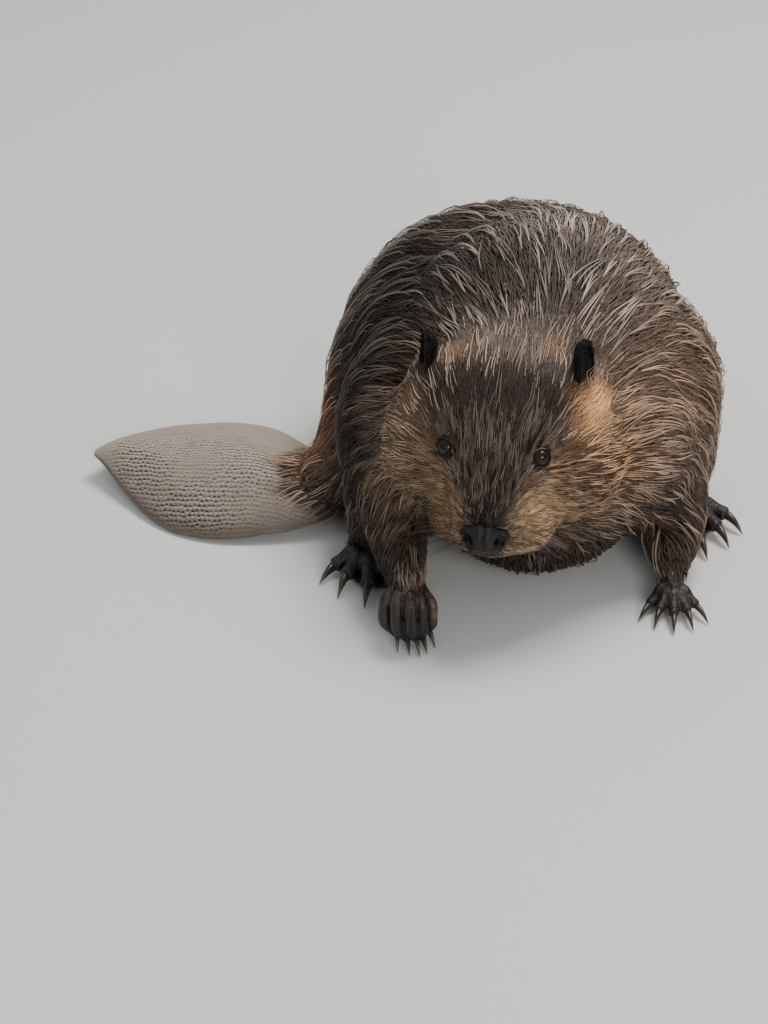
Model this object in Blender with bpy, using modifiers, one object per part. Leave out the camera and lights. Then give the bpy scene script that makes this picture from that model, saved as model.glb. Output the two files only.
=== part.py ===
"""A life-size North American beaver, standing hunched over its forepaws.

The animal faces -Y with its head lowered and turned a little towards -X. Its
trunk curls round behind the head, so that the rump and the flat tail come out
at -X, the animal's right side. Metres, +Z up, the feet on the plane Z = 0.
"""

import math

import bmesh
import bpy
import numpy as np
from mathutils import Matrix, Vector

# ---- driving dimensions, in metres -------------------------------------------

GAP = 0.0005  # between neighbouring pieces
NOSE_TIP = Vector((-0.035, -0.020, 0.100))
HEAD_YAW = math.radians(-11.5)  # the nose points a little to the animal's right
HEAD_PITCH = math.radians(34)  # and down
EYE_RADIUS = 0.0068

# How fine each skin over the masses is: the voxel that fuses them, the passes
# that soften it, and the triangles it is thinned to.
BODY_SKIN = (0.0050, 9, 1680)
HEAD_SKIN = (0.0030, 9, 30000)
HEAD_TRIANGLES = 1080
NOSE_SKIN = (0.0014, 2, 180)
FOREPAW_SKIN = (0.0018, 3, 200)
HINDFOOT_SKIN = (0.0018, 3, 250)

# The trunk, as ellipsoids carried along the spine from the nape to the tail:
# x, y, z of the centre, half width, half height, half length.
SPINE = [
    (-0.010, 0.090, 0.150, 0.070, 0.064, 0.050),
    (0.000, 0.118, 0.148, 0.092, 0.084, 0.055),
    (0.010, 0.150, 0.142, 0.108, 0.102, 0.060),
    (0.016, 0.194, 0.136, 0.114, 0.108, 0.060),
    (0.004, 0.236, 0.124, 0.112, 0.105, 0.060),
    (-0.034, 0.250, 0.113, 0.106, 0.102, 0.060),
    (-0.071, 0.226, 0.096, 0.088, 0.090, 0.055),
    (-0.102, 0.194, 0.068, 0.058, 0.062, 0.042),
    (-0.127, 0.176, 0.038, 0.042, 0.030, 0.034),
    (-0.154, 0.170, 0.027, 0.036, 0.020, 0.026),
]
# Masses of the trunk off the spine: centre, half sizes along X, Y and Z.
BODY_MASSES = {
    "brisket": ((0.008, 0.088, 0.078), (0.082, 0.060, 0.072)),
    "belly": ((0.016, 0.172, 0.080), (0.120, 0.128, 0.075)),
    "shoulder_right": ((-0.064, 0.088, 0.108), (0.040, 0.054, 0.064)),
    "shoulder_left": ((0.076, 0.100, 0.106), (0.050, 0.058, 0.068)),
    "flank_left": ((0.066, 0.180, 0.103), (0.089, 0.116, 0.091)),
    "haunch_right": ((-0.082, 0.146, 0.092), (0.060, 0.066, 0.082)),
    "haunch_left": ((0.090, 0.210, 0.088), (0.070, 0.084, 0.083)),
    "rump": ((-0.060, 0.216, 0.100), (0.076, 0.080, 0.092)),
}
# Limbs: x, y, z and radius from the body outwards.
FORELEG_RIGHT = [
    (-0.064, 0.086, 0.108, 0.044),
    (-0.086, 0.078, 0.080, 0.034),
    (-0.096, 0.050, 0.066, 0.025),
    (-0.093, 0.026, 0.058, 0.0190),
    (-0.089, 0.014, 0.051, 0.0168),
]
FORELEG_LEFT = [
    (0.080, 0.104, 0.106, 0.048),
    (0.102, 0.112, 0.070, 0.037),
    (0.110, 0.096, 0.046, 0.029),
    (0.111, 0.080, 0.029, 0.0205),
    (0.111, 0.072, 0.023, 0.0170),
]
HINDLEG_RIGHT = [
    (-0.084, 0.128, 0.085, 0.052),
    (-0.098, 0.108, 0.058, 0.038),
    (-0.104, 0.138, 0.038, 0.027),
    (-0.105, 0.158, 0.026, 0.020),
]
HINDLEG_LEFT = [
    (0.096, 0.180, 0.085, 0.056),
    (0.110, 0.160, 0.058, 0.042),
    (0.112, 0.196, 0.038, 0.028),
    (0.110, 0.218, 0.026, 0.020),
]
# The head, in its own frame: x to the animal's left, y from the nose tip back
# along the head, z up out of the forehead. Masses as above; those with an x
# are made on both sides.
HEAD_MASSES = {
    "cranium": ((0.000, 0.110, 0.004), (0.064, 0.062, 0.050)),
    "forehead": ((0.000, 0.072, 0.006), (0.042, 0.046, 0.034)),
    "bridge": ((0.000, 0.042, -0.002), (0.029, 0.040, 0.026)),
    "muzzle": ((0.000, 0.034, -0.018), (0.040, 0.034, 0.028)),
    "front_lip": ((0.000, 0.021, -0.028), (0.027, 0.021, 0.021)),
    "jaw": ((0.000, 0.050, -0.044), (0.036, 0.044, 0.024)),
    "throat": ((0.000, 0.112, -0.038), (0.070, 0.058, 0.048)),
    "lip": ((0.022, 0.032, -0.025), (0.026, 0.028, 0.024)),
    "cheek": ((0.046, 0.086, -0.024), (0.045, 0.050, 0.043)),
    "temple": ((0.042, 0.112, -0.002), (0.036, 0.044, 0.038)),
    "brow": ((0.024, 0.068, 0.016), (0.014, 0.020, 0.014)),
}
EYE_PLACE = Vector((0.0330, 0.0605, 0.0200))
NOSE_PAD = ((0.0, 0.0035, -0.0040), (0.0165, 0.0095, 0.0130))
NOSE_WING = ((0.0115, 0.0060, -0.0020), (0.0062, 0.0070, 0.0080))
NOSTRIL = ((0.0160, 0.0020, -0.0035), (0.0032, 0.0036, 0.0046))
EAR_PLACE = Vector((0.0575, 0.125, 0.039))
EAR_SIZE = Vector((0.0120, 0.0080, 0.0155))  # half width, depth of the cup, half height
EAR_LEAN = math.radians(-42)  # backwards, from the head's own z
EAR_TILT = math.radians(12)  # its top towards its own side
EAR_OPENS = math.radians(58)  # from straight ahead towards its own side
EAR_MOUTH = -0.2  # where the cup is open, as a share of its depth
EAR_WALL = 0.0028

# The tail blade: x, y, z of its middle line, half width, half thickness, and how
# far its near edge (-Y) and its far edge stand above the middle line.
BLADE = [
    (-0.138, 0.168, 0.022, 0.026, 0.0080, -0.006, 0.000),
    (-0.155, 0.169, 0.024, 0.041, 0.0085, -0.012, 0.000),
    (-0.185, 0.176, 0.029, 0.055, 0.0085, -0.025, -0.002),
    (-0.212, 0.185, 0.032, 0.065, 0.0080, -0.032, -0.003),
    (-0.245, 0.197, 0.032, 0.065, 0.0072, -0.032, -0.004),
    (-0.282, 0.212, 0.029, 0.048, 0.0062, -0.024, -0.004),
    (-0.313, 0.219, 0.025, 0.027, 0.0050, -0.012, -0.003),
    (-0.334, 0.219, 0.022, 0.009, 0.0032, 0.000, 0.000),
]

# Feet: the heading on the floor in degrees from -Y towards the animal's left,
# the path of the sole from the ankle (x, y, z, radius), then the toes: how far
# each reaches along the floor, the heights of its knuckle and tip, and how far
# the claw reaches past the tip.
FEET = {
    "forepaw_right": {
        "heading": 14,
        "sole": [
            (-0.089, 0.018, 0.052, 0.0152),
            (-0.088, 0.010, 0.047, 0.0158),
            (-0.086, 0.006, 0.040, 0.0145),
        ],
        "toe_lengths": (0.009, 0.013, 0.015, 0.014, 0.010),
        "toe_radius": 0.0056,
        "pitch": 0.0076,
        "spread": -12,
        "knuckle": 0.030,
        "tip": 0.0068,
        "claw": 0.0075,
        "web": 0.0,
    },
    "forepaw_left": {
        "heading": -4,
        "sole": [
            (0.111, 0.080, 0.027, 0.0160),
            (0.111, 0.064, 0.017, 0.0160),
            (0.110, 0.050, 0.012, 0.0142),
        ],
        "toe_lengths": (0.017, 0.024, 0.027, 0.024, 0.017),
        "toe_radius": 0.0056,
        "pitch": 0.0074,
        "spread": 44,
        "knuckle": 0.012,
        "tip": 0.0050,
        "claw": 0.0120,
        "web": 0.0,
    },
    "hindfoot_right": {
        "heading": -8,
        "sole": [
            (-0.105, 0.168, 0.022, 0.0190),
            (-0.106, 0.142, 0.015, 0.0190),
            (-0.108, 0.114, 0.013, 0.0185),
        ],
        "toe_lengths": (0.036, 0.048, 0.056, 0.056, 0.046),
        "toe_radius": 0.0070,
        "pitch": 0.0098,
        "spread": 44,
        "knuckle": 0.014,
        "tip": 0.0062,
        "claw": 0.0130,
        "web": 0.0026,
    },
    "hindfoot_left": {
        "heading": 14,
        "sole": [
            (0.110, 0.228, 0.022, 0.0190),
            (0.115, 0.202, 0.015, 0.0190),
            (0.122, 0.176, 0.013, 0.0185),
        ],
        "toe_lengths": (0.046, 0.056, 0.056, 0.048, 0.036),
        "toe_radius": 0.0070,
        "pitch": 0.0098,
        "spread": 44,
        "knuckle": 0.014,
        "tip": 0.0062,
        "claw": 0.0130,
        "web": 0.0026,
    },
}
TOES = range(5)

# Where the flesh is parted. The head and the legs are what lies inside an
# ellipsoid: its centre, its half sizes and its turn. The rest is cut by planes.
HEAD_REGION = (Vector((0.0, 0.078, -0.005)), Vector((0.102, 0.102, 0.086)))
NECK_PLANE = (Vector((0.0, 0.104, 0.080)), Vector((-0.14, -0.945, 0.295)).normalized())
RUMP_CORNER = Vector((-0.030, 0.128, 0.0))
TAIL_ROOT_X = -0.118

HEAD_PLACE = (
    Matrix.Translation(NOSE_TIP)
    @ Matrix.Rotation(HEAD_YAW, 4, "Z")
    @ Matrix.Rotation(HEAD_PITCH, 4, "X")
)
SIDES = {"left": 1, "right": -1}  # the sign of the head's own x on each side


def leaning(outer, inner):
    """The turn that lays an ellipsoid's Z along the line from outer to inner."""
    return (Vector(inner) - Vector(outer)).to_track_quat("Z", "Y").to_matrix().to_4x4()


LEG_REGIONS = {
    "foreleg_right": (
        (-0.090, 0.052, 0.070),
        (0.036, 0.044, 0.072),
        leaning((-0.098, -0.008, 0.050), (-0.078, 0.105, 0.096)),
    ),
    "foreleg_left": (
        (0.098, 0.092, 0.066),
        (0.046, 0.050, 0.084),
        leaning((0.116, 0.050, 0.000), (0.078, 0.128, 0.130)),
    ),
    "hindleg_right": (
        (-0.094, 0.138, 0.070),
        (0.056, 0.066, 0.084),
        Matrix.Identity(4),
    ),
    "hindleg_left": (
        (0.114, 0.196, 0.068),
        (0.066, 0.080, 0.084),
        Matrix.Identity(4),
    ),
}


# ---- scene and small helpers ---------------------------------------------------


def clear_scene():
    for obj in list(bpy.data.objects):
        bpy.data.objects.remove(obj, do_unlink=True)


def collection(name):
    made = bpy.data.collections.new(name)
    bpy.context.scene.collection.children.link(made)
    return made


def material(name, color, roughness):
    made = bpy.data.materials.new(name)
    made.use_nodes = True
    shader = made.node_tree.nodes["Principled BSDF"]
    shader.inputs["Base Color"].default_value = (*color, 1.0)
    shader.inputs["Roughness"].default_value = roughness
    return made


def mesh_of(bm, name):
    mesh = bpy.data.meshes.new(name)
    bm.normal_update()
    bm.to_mesh(mesh)
    bm.free()
    return mesh


def add_object(name, mesh, where):
    obj = bpy.data.objects.new(name, mesh)
    where.objects.link(obj)
    return obj


def baked(obj):
    """The object's evaluated mesh, in place, as a new mesh."""
    bpy.context.view_layer.update()
    graph = bpy.context.evaluated_depsgraph_get()
    mesh = bpy.data.meshes.new_from_object(obj.evaluated_get(graph))
    mesh.transform(obj.matrix_world)
    return mesh


def taken_out(obj):
    """The object's evaluated mesh, with the object itself removed."""
    mesh = baked(obj)
    bpy.data.objects.remove(obj, do_unlink=True)
    return mesh


def largest_body(mesh):
    """Drops the crumbs that a cut can leave beside the main piece."""
    bm = bmesh.new()
    bm.from_mesh(mesh)
    left = set(bm.verts)
    bodies = []
    while left:
        todo = [left.pop()]
        body = set(todo)
        while todo:
            for edge in todo.pop().link_edges:
                for vert in edge.verts:
                    if vert not in body:
                        body.add(vert)
                        todo.append(vert)
        left -= body
        bodies.append(body)
    crumbs = [v for b in sorted(bodies, key=len)[:-1] for v in b]
    bmesh.ops.delete(bm, geom=crumbs, context="VERTS")
    bm.to_mesh(mesh)
    bm.free()
    return mesh


def boolean(mesh, cutters, operation):
    """The mesh after one Boolean with each cutter mesh in turn."""
    subject = add_object("subject", mesh, helpers)
    tools = []
    for number, cutter in enumerate(cutters):
        tool = add_object(f"tool_{number}", cutter, helpers)
        tools.append(tool)
        modifier = subject.modifiers.new("cut", "BOOLEAN")
        modifier.operation = operation
        modifier.solver = "EXACT"
        modifier.object = tool
    result = largest_body(taken_out(subject))
    for tool in tools:
        bpy.data.objects.remove(tool, do_unlink=True)
    return result


# ---- soft masses -----------------------------------------------------------------


def smooth_rows(rows, steps):
    """Rows of numbers on a Catmull-Rom curve through the given rows."""
    rows = np.array(rows, float)
    padded = np.vstack([2 * rows[0] - rows[1], rows, 2 * rows[-1] - rows[-2]])
    found = []
    for i in range(len(rows) - 1):
        a, b, c, d = padded[i : i + 4]
        for t in np.linspace(0, 1, steps, endpoint=False):
            curve = 2 * b + (c - a) * t + (2 * a - 5 * b + 4 * c - d) * t**2
            found.append((curve + (3 * b - a - 3 * c + d) * t**3) / 2)
    return np.array([*found, rows[-1]])


def add_ball(bm, centre, sizes, turn=None, fineness=3):
    """One ellipsoid, as an icosphere stretched to its half sizes."""
    place = Matrix.Translation(centre) @ (turn or Matrix.Identity(4))
    place = place @ Matrix.Diagonal((*sizes, 1.0))
    bmesh.ops.create_icosphere(bm, subdivisions=fineness, radius=1.0, matrix=place)


def add_spine(bm, stations, steps=4):
    """Ellipsoids along a path, each turned to the path's own heading."""
    rows = smooth_rows(stations, steps)
    headings = np.gradient(rows[:, :3], axis=0)
    for row, heading in zip(rows, headings):
        turn = Matrix.Rotation(math.atan2(heading[1], heading[0]), 4, "Z")
        wide, high, long = row[3:6]
        add_ball(bm, row[:3], (long, wide, high), turn)


def add_limb(bm, stations, steps=4, fineness=3):
    """Balls of changing radius along a path."""
    for x, y, z, radius in smooth_rows(stations, steps):
        add_ball(bm, (x, y, z), (radius,) * 3, fineness=fineness)


def add_body(bm):
    add_spine(bm, SPINE)
    for centre, sizes in BODY_MASSES.values():
        add_ball(bm, centre, sizes)
    for limb in (FORELEG_RIGHT, FORELEG_LEFT, HINDLEG_RIGHT, HINDLEG_LEFT):
        add_limb(bm, limb)


def add_head_balls(bm, centre, sizes, fineness=3):
    """A ball placed in the head's frame; one with an x is made on both sides."""
    turn = HEAD_PLACE.to_3x3().to_4x4()
    for sign in SIDES.values() if centre[0] else (1,):
        place = HEAD_PLACE @ Vector((sign * centre[0], centre[1], centre[2]))
        add_ball(bm, place, sizes, turn, fineness)


def add_head(bm):
    for centre, sizes in HEAD_MASSES.values():
        add_head_balls(bm, centre, sizes)


def fused(bm, skin):
    """One skin over all the masses: remeshed, smoothed, then thinned out."""
    voxel, smoothing, triangles = skin
    obj = add_object("masses", mesh_of(bm, "masses"), helpers)
    remesh = obj.modifiers.new("skin", "REMESH")
    remesh.mode = "VOXEL"
    remesh.voxel_size = voxel
    smooth = obj.modifiers.new("soften", "SMOOTH")
    smooth.factor = 0.5
    smooth.iterations = smoothing
    return thinned(taken_out(obj), triangles)


def thinned(mesh, triangles):
    """The mesh with about that many triangles."""
    obj = add_object("fine", mesh, helpers)
    mesh.calc_loop_triangles()
    thin = obj.modifiers.new("thin", "DECIMATE")
    thin.ratio = min(1.0, triangles / len(mesh.loop_triangles))
    thin.use_collapse_triangulate = True
    return taken_out(obj)


# ---- regions that part the flesh ---------------------------------------------------


def is_closed(mesh):
    bm = bmesh.new()
    bm.from_mesh(mesh)
    closed = all(edge.is_manifold for edge in bm.edges)
    bm.free()
    return closed


def merged_flats(mesh, angle=math.radians(2.5)):
    """Faces that lie almost in one plane merged, where that leaves no hole."""
    obj = add_object("flats", mesh.copy(), helpers)
    flats = obj.modifiers.new("flats", "DECIMATE")
    flats.decimate_type = "DISSOLVE"
    flats.angle_limit = angle
    obj.modifiers.new("triangles", "TRIANGULATE")
    merged = taken_out(obj)
    return merged if is_closed(merged) else mesh


def half_space(point, facing, shift=0.0, reach=0.6):
    """A big box filling the side that the plane faces, its face moved by shift."""
    turn = facing.to_track_quat("Z", "Y").to_matrix().to_4x4()
    centre = point + facing * (shift + reach)
    bm = bmesh.new()
    place = Matrix.Translation(centre) @ turn
    bmesh.ops.create_cube(bm, size=2 * reach, matrix=place)
    return mesh_of(bm, "half_space")


def box(low, high):
    bm = bmesh.new()
    low, high = Vector(low), Vector(high)
    size = Matrix.Diagonal((*(high - low), 1.0))
    place = Matrix.Translation((low + high) / 2) @ size
    bmesh.ops.create_cube(bm, size=1.0, matrix=place)
    return mesh_of(bm, "box")


def ellipsoid(centre, sizes, turn, grow=0.0):
    bm = bmesh.new()
    grown = [s + grow for s in sizes]
    bmesh.ops.create_uvsphere(
        bm,
        u_segments=12,
        v_segments=7,
        radius=1.0,
        matrix=Matrix.Translation(centre) @ turn @ Matrix.Diagonal((*grown, 1.0)),
    )
    return mesh_of(bm, "ellipsoid")


def split(mesh, region):
    """(the piece of the mesh inside region(0), the rest outside region(GAP))."""
    piece = boolean(mesh.copy(), [region(0.0)], "INTERSECT")
    return piece, boolean(mesh, [region(GAP)], "DIFFERENCE")


def inflated(mesh, grow=1.5 * GAP):
    """A copy of the mesh pushed out along its normals, to cut a socket for it."""
    obj = add_object("inflated", mesh.copy(), helpers)
    push = obj.modifiers.new("push", "DISPLACE")
    push.strength = grow
    push.mid_level = 0.0
    return taken_out(obj)


def seated(mesh, *others):
    """The mesh with a socket, one gap wide, round each of the others."""
    return boolean(mesh, [inflated(other) for other in others], "DIFFERENCE")


def on_floor(mesh):
    """Cuts a small flat at floor level under whatever reaches below it."""
    floor = box((-1, -1, -1), (1, 1, 0))
    return boolean(mesh, [floor], "DIFFERENCE")


# ---- the pieces ----------------------------------------------------------------------


def eye(sign):
    bm = bmesh.new()
    place = HEAD_PLACE @ Vector((sign * EYE_PLACE.x, EYE_PLACE.y, EYE_PLACE.z))
    bmesh.ops.create_uvsphere(
        bm,
        u_segments=10,
        v_segments=6,
        radius=EYE_RADIUS,
        matrix=Matrix.Translation(place),
    )
    return mesh_of(bm, "eye")


def ear(sign):
    """A small round cup that opens forwards and outwards."""
    turn = Matrix.Rotation(EAR_LEAN, 4, "X")
    turn = turn @ Matrix.Rotation(sign * EAR_TILT, 4, "Y")
    turn = turn @ Matrix.Rotation(sign * EAR_OPENS, 4, "Z")
    bm = bmesh.new()
    bmesh.ops.create_uvsphere(bm, u_segments=10, v_segments=8, radius=1.0)
    front = [v for v in bm.verts if v.co.y < EAR_MOUTH]
    bmesh.ops.delete(bm, geom=front, context="VERTS")
    place = Vector((sign * EAR_PLACE.x, EAR_PLACE.y, EAR_PLACE.z))
    size = Matrix.Diagonal((*EAR_SIZE, 1.0))
    matrix = HEAD_PLACE @ Matrix.Translation(place) @ turn @ size
    bm.transform(matrix)
    bmesh.ops.recalc_face_normals(bm, faces=bm.faces)
    obj = add_object("ear_shell", mesh_of(bm, "ear"), helpers)
    wall = obj.modifiers.new("wall", "SOLIDIFY")
    wall.thickness = EAR_WALL
    wall.offset = 0.0
    return taken_out(obj)


def nose():
    """The bare pad, with a wing over each nostril."""
    bm = bmesh.new()
    add_head_balls(bm, *NOSE_PAD)
    add_head_balls(bm, *NOSE_WING)
    pad = fused(bm, NOSE_SKIN)
    bm = bmesh.new()
    add_head_balls(bm, *NOSTRIL, fineness=1)
    return boolean(pad, [mesh_of(bm, "nostrils")], "DIFFERENCE")


def blade():
    """The tail's flat paddle: flattened rings lofted along its middle line."""
    rows = smooth_rows(BLADE, 2)
    headings = np.gradient(rows[:, :3], axis=0)
    around = np.linspace(0, 2 * math.pi, 14, endpoint=False)
    bm = bmesh.new()
    rings = []
    for (x, y, z, half, thick, near, far), heading in zip(rows, headings):
        across = Vector((heading[1], -heading[0], 0)).normalized()
        ring = []
        for angle in around:
            share = math.cos(angle)
            rise = (far if share > 0 else near) * share**2
            point = Vector((x, y, z)) + across * (half * share)
            point.z += thick * math.sin(angle) + rise
            ring.append(bm.verts.new(point))
        rings.append(ring)
    for ring, following in zip(rings, rings[1:]):
        for i in range(len(ring)):
            j = (i + 1) % len(ring)
            bm.faces.new((ring[i], ring[j], following[j], following[i]))
    bm.faces.new(rings[0])
    bm.faces.new(rings[-1])
    bmesh.ops.recalc_face_normals(bm, faces=bm.faces)
    bmesh.ops.triangulate(bm, faces=bm.faces)
    return mesh_of(bm, "blade")


def toe_path(foot, toe):
    """Root, knuckle and tip of one toe, and the way it points on the floor."""
    x, y, z, radius = foot["sole"][-1]
    heading = math.radians(foot["heading"])
    along = Vector((math.sin(heading), -math.cos(heading), 0))
    side = Vector((math.cos(heading), math.sin(heading), 0))
    place = toe - 2
    fan = heading + math.radians(foot["spread"]) * place / 4
    points = Vector((math.sin(fan), -math.cos(fan), 0))
    length = foot["toe_lengths"][toe]
    root = Vector((x, y, 0)) + side * (place * foot["pitch"])
    root += along * (radius * 0.5 - abs(place) * 0.0015)
    root.z = z * 0.8
    knuckle = root + points * (length * 0.45)
    knuckle.z = foot["knuckle"]
    tip = root + points * length
    tip.z = foot["tip"]
    return root, knuckle, tip, points


def foot_flesh(foot, skin):
    bm = bmesh.new()
    add_limb(bm, foot["sole"], steps=5)
    thick = foot["toe_radius"]
    paths = [toe_path(foot, toe) for toe in TOES]
    for root, knuckle, tip, _ in paths:
        rows = [
            (*root, thick * 1.1),
            (*knuckle, thick * 1.05),
            (*tip, thick * 0.85),
        ]
        add_limb(bm, rows, steps=7, fineness=2)
    if foot["web"]:
        for first, second in zip(paths, paths[1:]):
            add_web(bm, first, second, foot["web"])
    return on_floor(fused(bm, skin))


def add_web(bm, first, second, thick):
    """Skin between two toes, as flat balls strung from one to the other."""
    for share in np.linspace(0.1, 0.8, 6):
        ends = [toe[0].lerp(toe[2], share) for toe in (first, second)]
        middle = (ends[0] + ends[1]) / 2
        middle.z = thick + 0.0015 + 0.004 * (1 - share)
        width = (ends[0] - ends[1]).length * 0.62
        add_ball(bm, middle, (width, width, thick), fineness=2)


def claw(foot, toe):
    """A tapered, downcurved horn, its root inside the toe."""
    _, _, tip, points = toe_path(foot, toe)
    thick = foot["toe_radius"] * 0.5
    start = tip - points * (thick * 1.6)
    start.z += thick * 1.1
    length = thick * 1.6 + foot["claw"]
    stations = []
    for share in (0.0, 0.4, 0.75, 1.0):
        point = start + points * (length * share)
        point.z = start.z + 0.0010 * share - (start.z + 0.0008) * share**2.2
        stations.append((point, thick * (1 - share) ** 0.7 + 0.0004))
    curve = bpy.data.curves.new("claw", "CURVE")
    curve.dimensions = "3D"
    curve.bevel_depth = 1.0
    curve.bevel_resolution = 0
    curve.use_fill_caps = True
    spline = curve.splines.new("POLY")
    spline.points.add(len(stations) - 1)
    for control, (point, radius) in zip(spline.points, stations):
        control.co = (*point, 1.0)
        control.radius = radius
    obj = bpy.data.objects.new("claw", curve)
    helpers.objects.link(obj)
    mesh = baked(obj)
    bpy.data.objects.remove(obj, do_unlink=True)
    bm = bmesh.new()
    bm.from_mesh(mesh)
    bmesh.ops.remove_doubles(bm, verts=bm.verts, dist=1e-6)
    bmesh.ops.recalc_face_normals(bm, faces=bm.faces)
    mesh.clear_geometry()
    bm.to_mesh(mesh)
    bm.free()
    return on_floor(mesh)


# ---- the animal ------------------------------------------------------------------------


def head_region(grow=0.0):
    centre, sizes = HEAD_REGION
    return ellipsoid(HEAD_PLACE @ centre, sizes, HEAD_PLACE.to_3x3().to_4x4(), grow)


def body_pieces():
    """The flesh from the neck back, whole, then parted by thin cuts."""
    bm = bmesh.new()
    add_body(bm)
    add_head(bm)
    rest = fused(bm, BODY_SKIN)
    pieces = {}
    for name, (centre, sizes, turn) in LEG_REGIONS.items():
        region = lambda grow: ellipsoid(centre, sizes, turn, grow)
        pieces[name], rest = split(rest, region)
        if name == "foreleg_right":  # the only leg that the head gives way to
            rest = boolean(rest, [head_region(GAP)], "DIFFERENCE")
    region = lambda grow: half_space(*NECK_PLANE, shift=-grow)
    pieces["neck"], rest = split(rest, region)
    region = lambda grow: box((-1, -1, -1), (TAIL_ROOT_X + grow, 1, 1))
    pieces["tail_root"], rest = split(rest, region)
    x, y, _ = RUMP_CORNER
    region = lambda grow: box((-1, y - grow, -1), (x + grow, 1, 1))
    pieces["rump"], pieces["trunk"] = split(rest, region)
    return pieces


def head_flesh():
    """The head alone, from a finer skin over the same masses."""
    bm = bmesh.new()
    add_body(bm)
    add_head(bm)
    rough = boolean(fused(bm, HEAD_SKIN), [head_region(0.010)], "INTERSECT")
    head = boolean(thinned(rough, HEAD_TRIANGLES), [head_region()], "INTERSECT")
    return boolean(head, [ellipsoid(*LEG_REGIONS["foreleg_right"], GAP)], "DIFFERENCE")


def build():
    pieces = body_pieces()
    head = head_flesh()
    for side, sign in SIDES.items():
        pieces[f"eye_{side}"] = eye(sign)
        pieces[f"ear_{side}"] = ear(sign)
    pieces["nose"] = nose()
    on_head = ("eye_left", "eye_right", "ear_left", "ear_right", "nose")
    pieces["head"] = seated(head, *(pieces[name] for name in on_head))
    pieces["tail_blade"] = on_floor(blade())
    for name in ("tail_root", "hindleg_right", "rump"):
        pieces[name] = seated(pieces[name], pieces["tail_blade"])
    for name, foot in FEET.items():
        leg = name.replace("paw", "leg").replace("foot", "leg")
        above = [pieces[leg]]
        if name.startswith("hind"):
            above += [pieces[other] for other in ("trunk", "rump", "tail_root")]
        claws = {toe: claw(foot, toe) for toe in TOES}
        flesh = foot_flesh(foot, FOREPAW_SKIN if "fore" in name else HINDFOOT_SKIN)
        pieces[name] = seated(flesh, *above, *claws.values())
        for toe, mesh in claws.items():
            pieces[f"claw_{name}_{toe + 1}"] = mesh
    return pieces


FINISHES = {
    "fur": material("fur", (0.085, 0.055, 0.038), 0.75),
    "foot_skin": material("foot_skin", (0.035, 0.028, 0.025), 0.45),
    "claw_horn": material("claw_horn", (0.030, 0.022, 0.018), 0.30),
    "tail_scales": material("tail_scales", (0.19, 0.155, 0.135), 0.55),
    "nose_skin": material("nose_skin", (0.018, 0.015, 0.014), 0.40),
    "ear_skin": material("ear_skin", (0.022, 0.017, 0.015), 0.60),
    "eye_gloss": material("eye_gloss", (0.012, 0.009, 0.007), 0.06),
}


def finish_of(name):
    for word, finish in (
        ("claw", "claw_horn"),
        ("eye", "eye_gloss"),
        ("ear", "ear_skin"),
        ("nose", "nose_skin"),
        ("blade", "tail_scales"),
        ("paw", "foot_skin"),
        ("foot", "foot_skin"),
    ):
        if word in name and not name.startswith(("foreleg", "hindleg")):
            return FINISHES[finish]
    return FINISHES["fur"]


clear_scene()
beaver = collection("beaver")
helpers = collection("helpers")
helpers.hide_render = True
pieces = build()
corners = np.array([v.co for mesh in pieces.values() for v in mesh.vertices])
middle = (corners.min(axis=0) + corners.max(axis=0)) / 2
to_origin = Matrix.Translation((-middle[0], -middle[1], -corners[:, 2].min()))
for name, mesh in pieces.items():
    mesh = merged_flats(mesh)
    mesh.transform(to_origin)
    mesh.materials.clear()
    mesh.materials.append(finish_of(name))
    mesh.shade_smooth()
    add_object(name, mesh, beaver)
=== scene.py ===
# %% [markdown]
# # A beaver, life size
#
# This notebook dresses a set of plain solids as a beaver: one skin over all the
# flesh, a coat of solid locks combed over it, a bare scaly tail, wet eyes, a
# leathery nose and dark horny claws. The solids are already the right size and
# already stand in the right place, so every position below is read from them.
# Lengths are in metres, +Z is up, and the animal faces -Y.

# %% The frame and its measures
import math

import bmesh
import bpy
import numpy as np
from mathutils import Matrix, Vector


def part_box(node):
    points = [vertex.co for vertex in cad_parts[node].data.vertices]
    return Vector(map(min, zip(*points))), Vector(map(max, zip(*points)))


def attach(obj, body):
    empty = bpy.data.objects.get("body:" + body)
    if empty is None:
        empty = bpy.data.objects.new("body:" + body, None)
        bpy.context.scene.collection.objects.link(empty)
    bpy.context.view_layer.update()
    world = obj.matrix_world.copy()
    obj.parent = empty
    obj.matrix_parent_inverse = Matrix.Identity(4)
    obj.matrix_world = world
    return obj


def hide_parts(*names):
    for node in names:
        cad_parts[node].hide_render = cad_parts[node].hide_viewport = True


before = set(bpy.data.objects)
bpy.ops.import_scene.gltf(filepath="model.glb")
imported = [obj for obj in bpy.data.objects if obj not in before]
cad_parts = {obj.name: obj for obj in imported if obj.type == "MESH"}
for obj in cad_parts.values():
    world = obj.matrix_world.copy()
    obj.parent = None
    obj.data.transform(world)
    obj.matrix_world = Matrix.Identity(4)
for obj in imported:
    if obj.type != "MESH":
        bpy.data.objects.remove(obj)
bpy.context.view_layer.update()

rng = np.random.default_rng(7)
MM = 0.001
SIDES = {"left": 1, "right": -1}
FLESH = (
    "head", "neck", "trunk", "rump", "tail_root",
    "foreleg_left", "foreleg_right", "hindleg_left", "hindleg_right",
)
FEET = ("forepaw_left", "forepaw_right", "hindfoot_left", "hindfoot_right")


def corners(node):
    """The two corners of a solid's box."""
    return np.array([list(corner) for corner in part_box(node)])


def middle(node):
    return corners(node).mean(axis=0)


def unit(vectors):
    """The same directions with length one."""
    lengths = np.linalg.norm(vectors, axis=-1, keepdims=True)
    return vectors / np.maximum(lengths, 1e-12)


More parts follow.
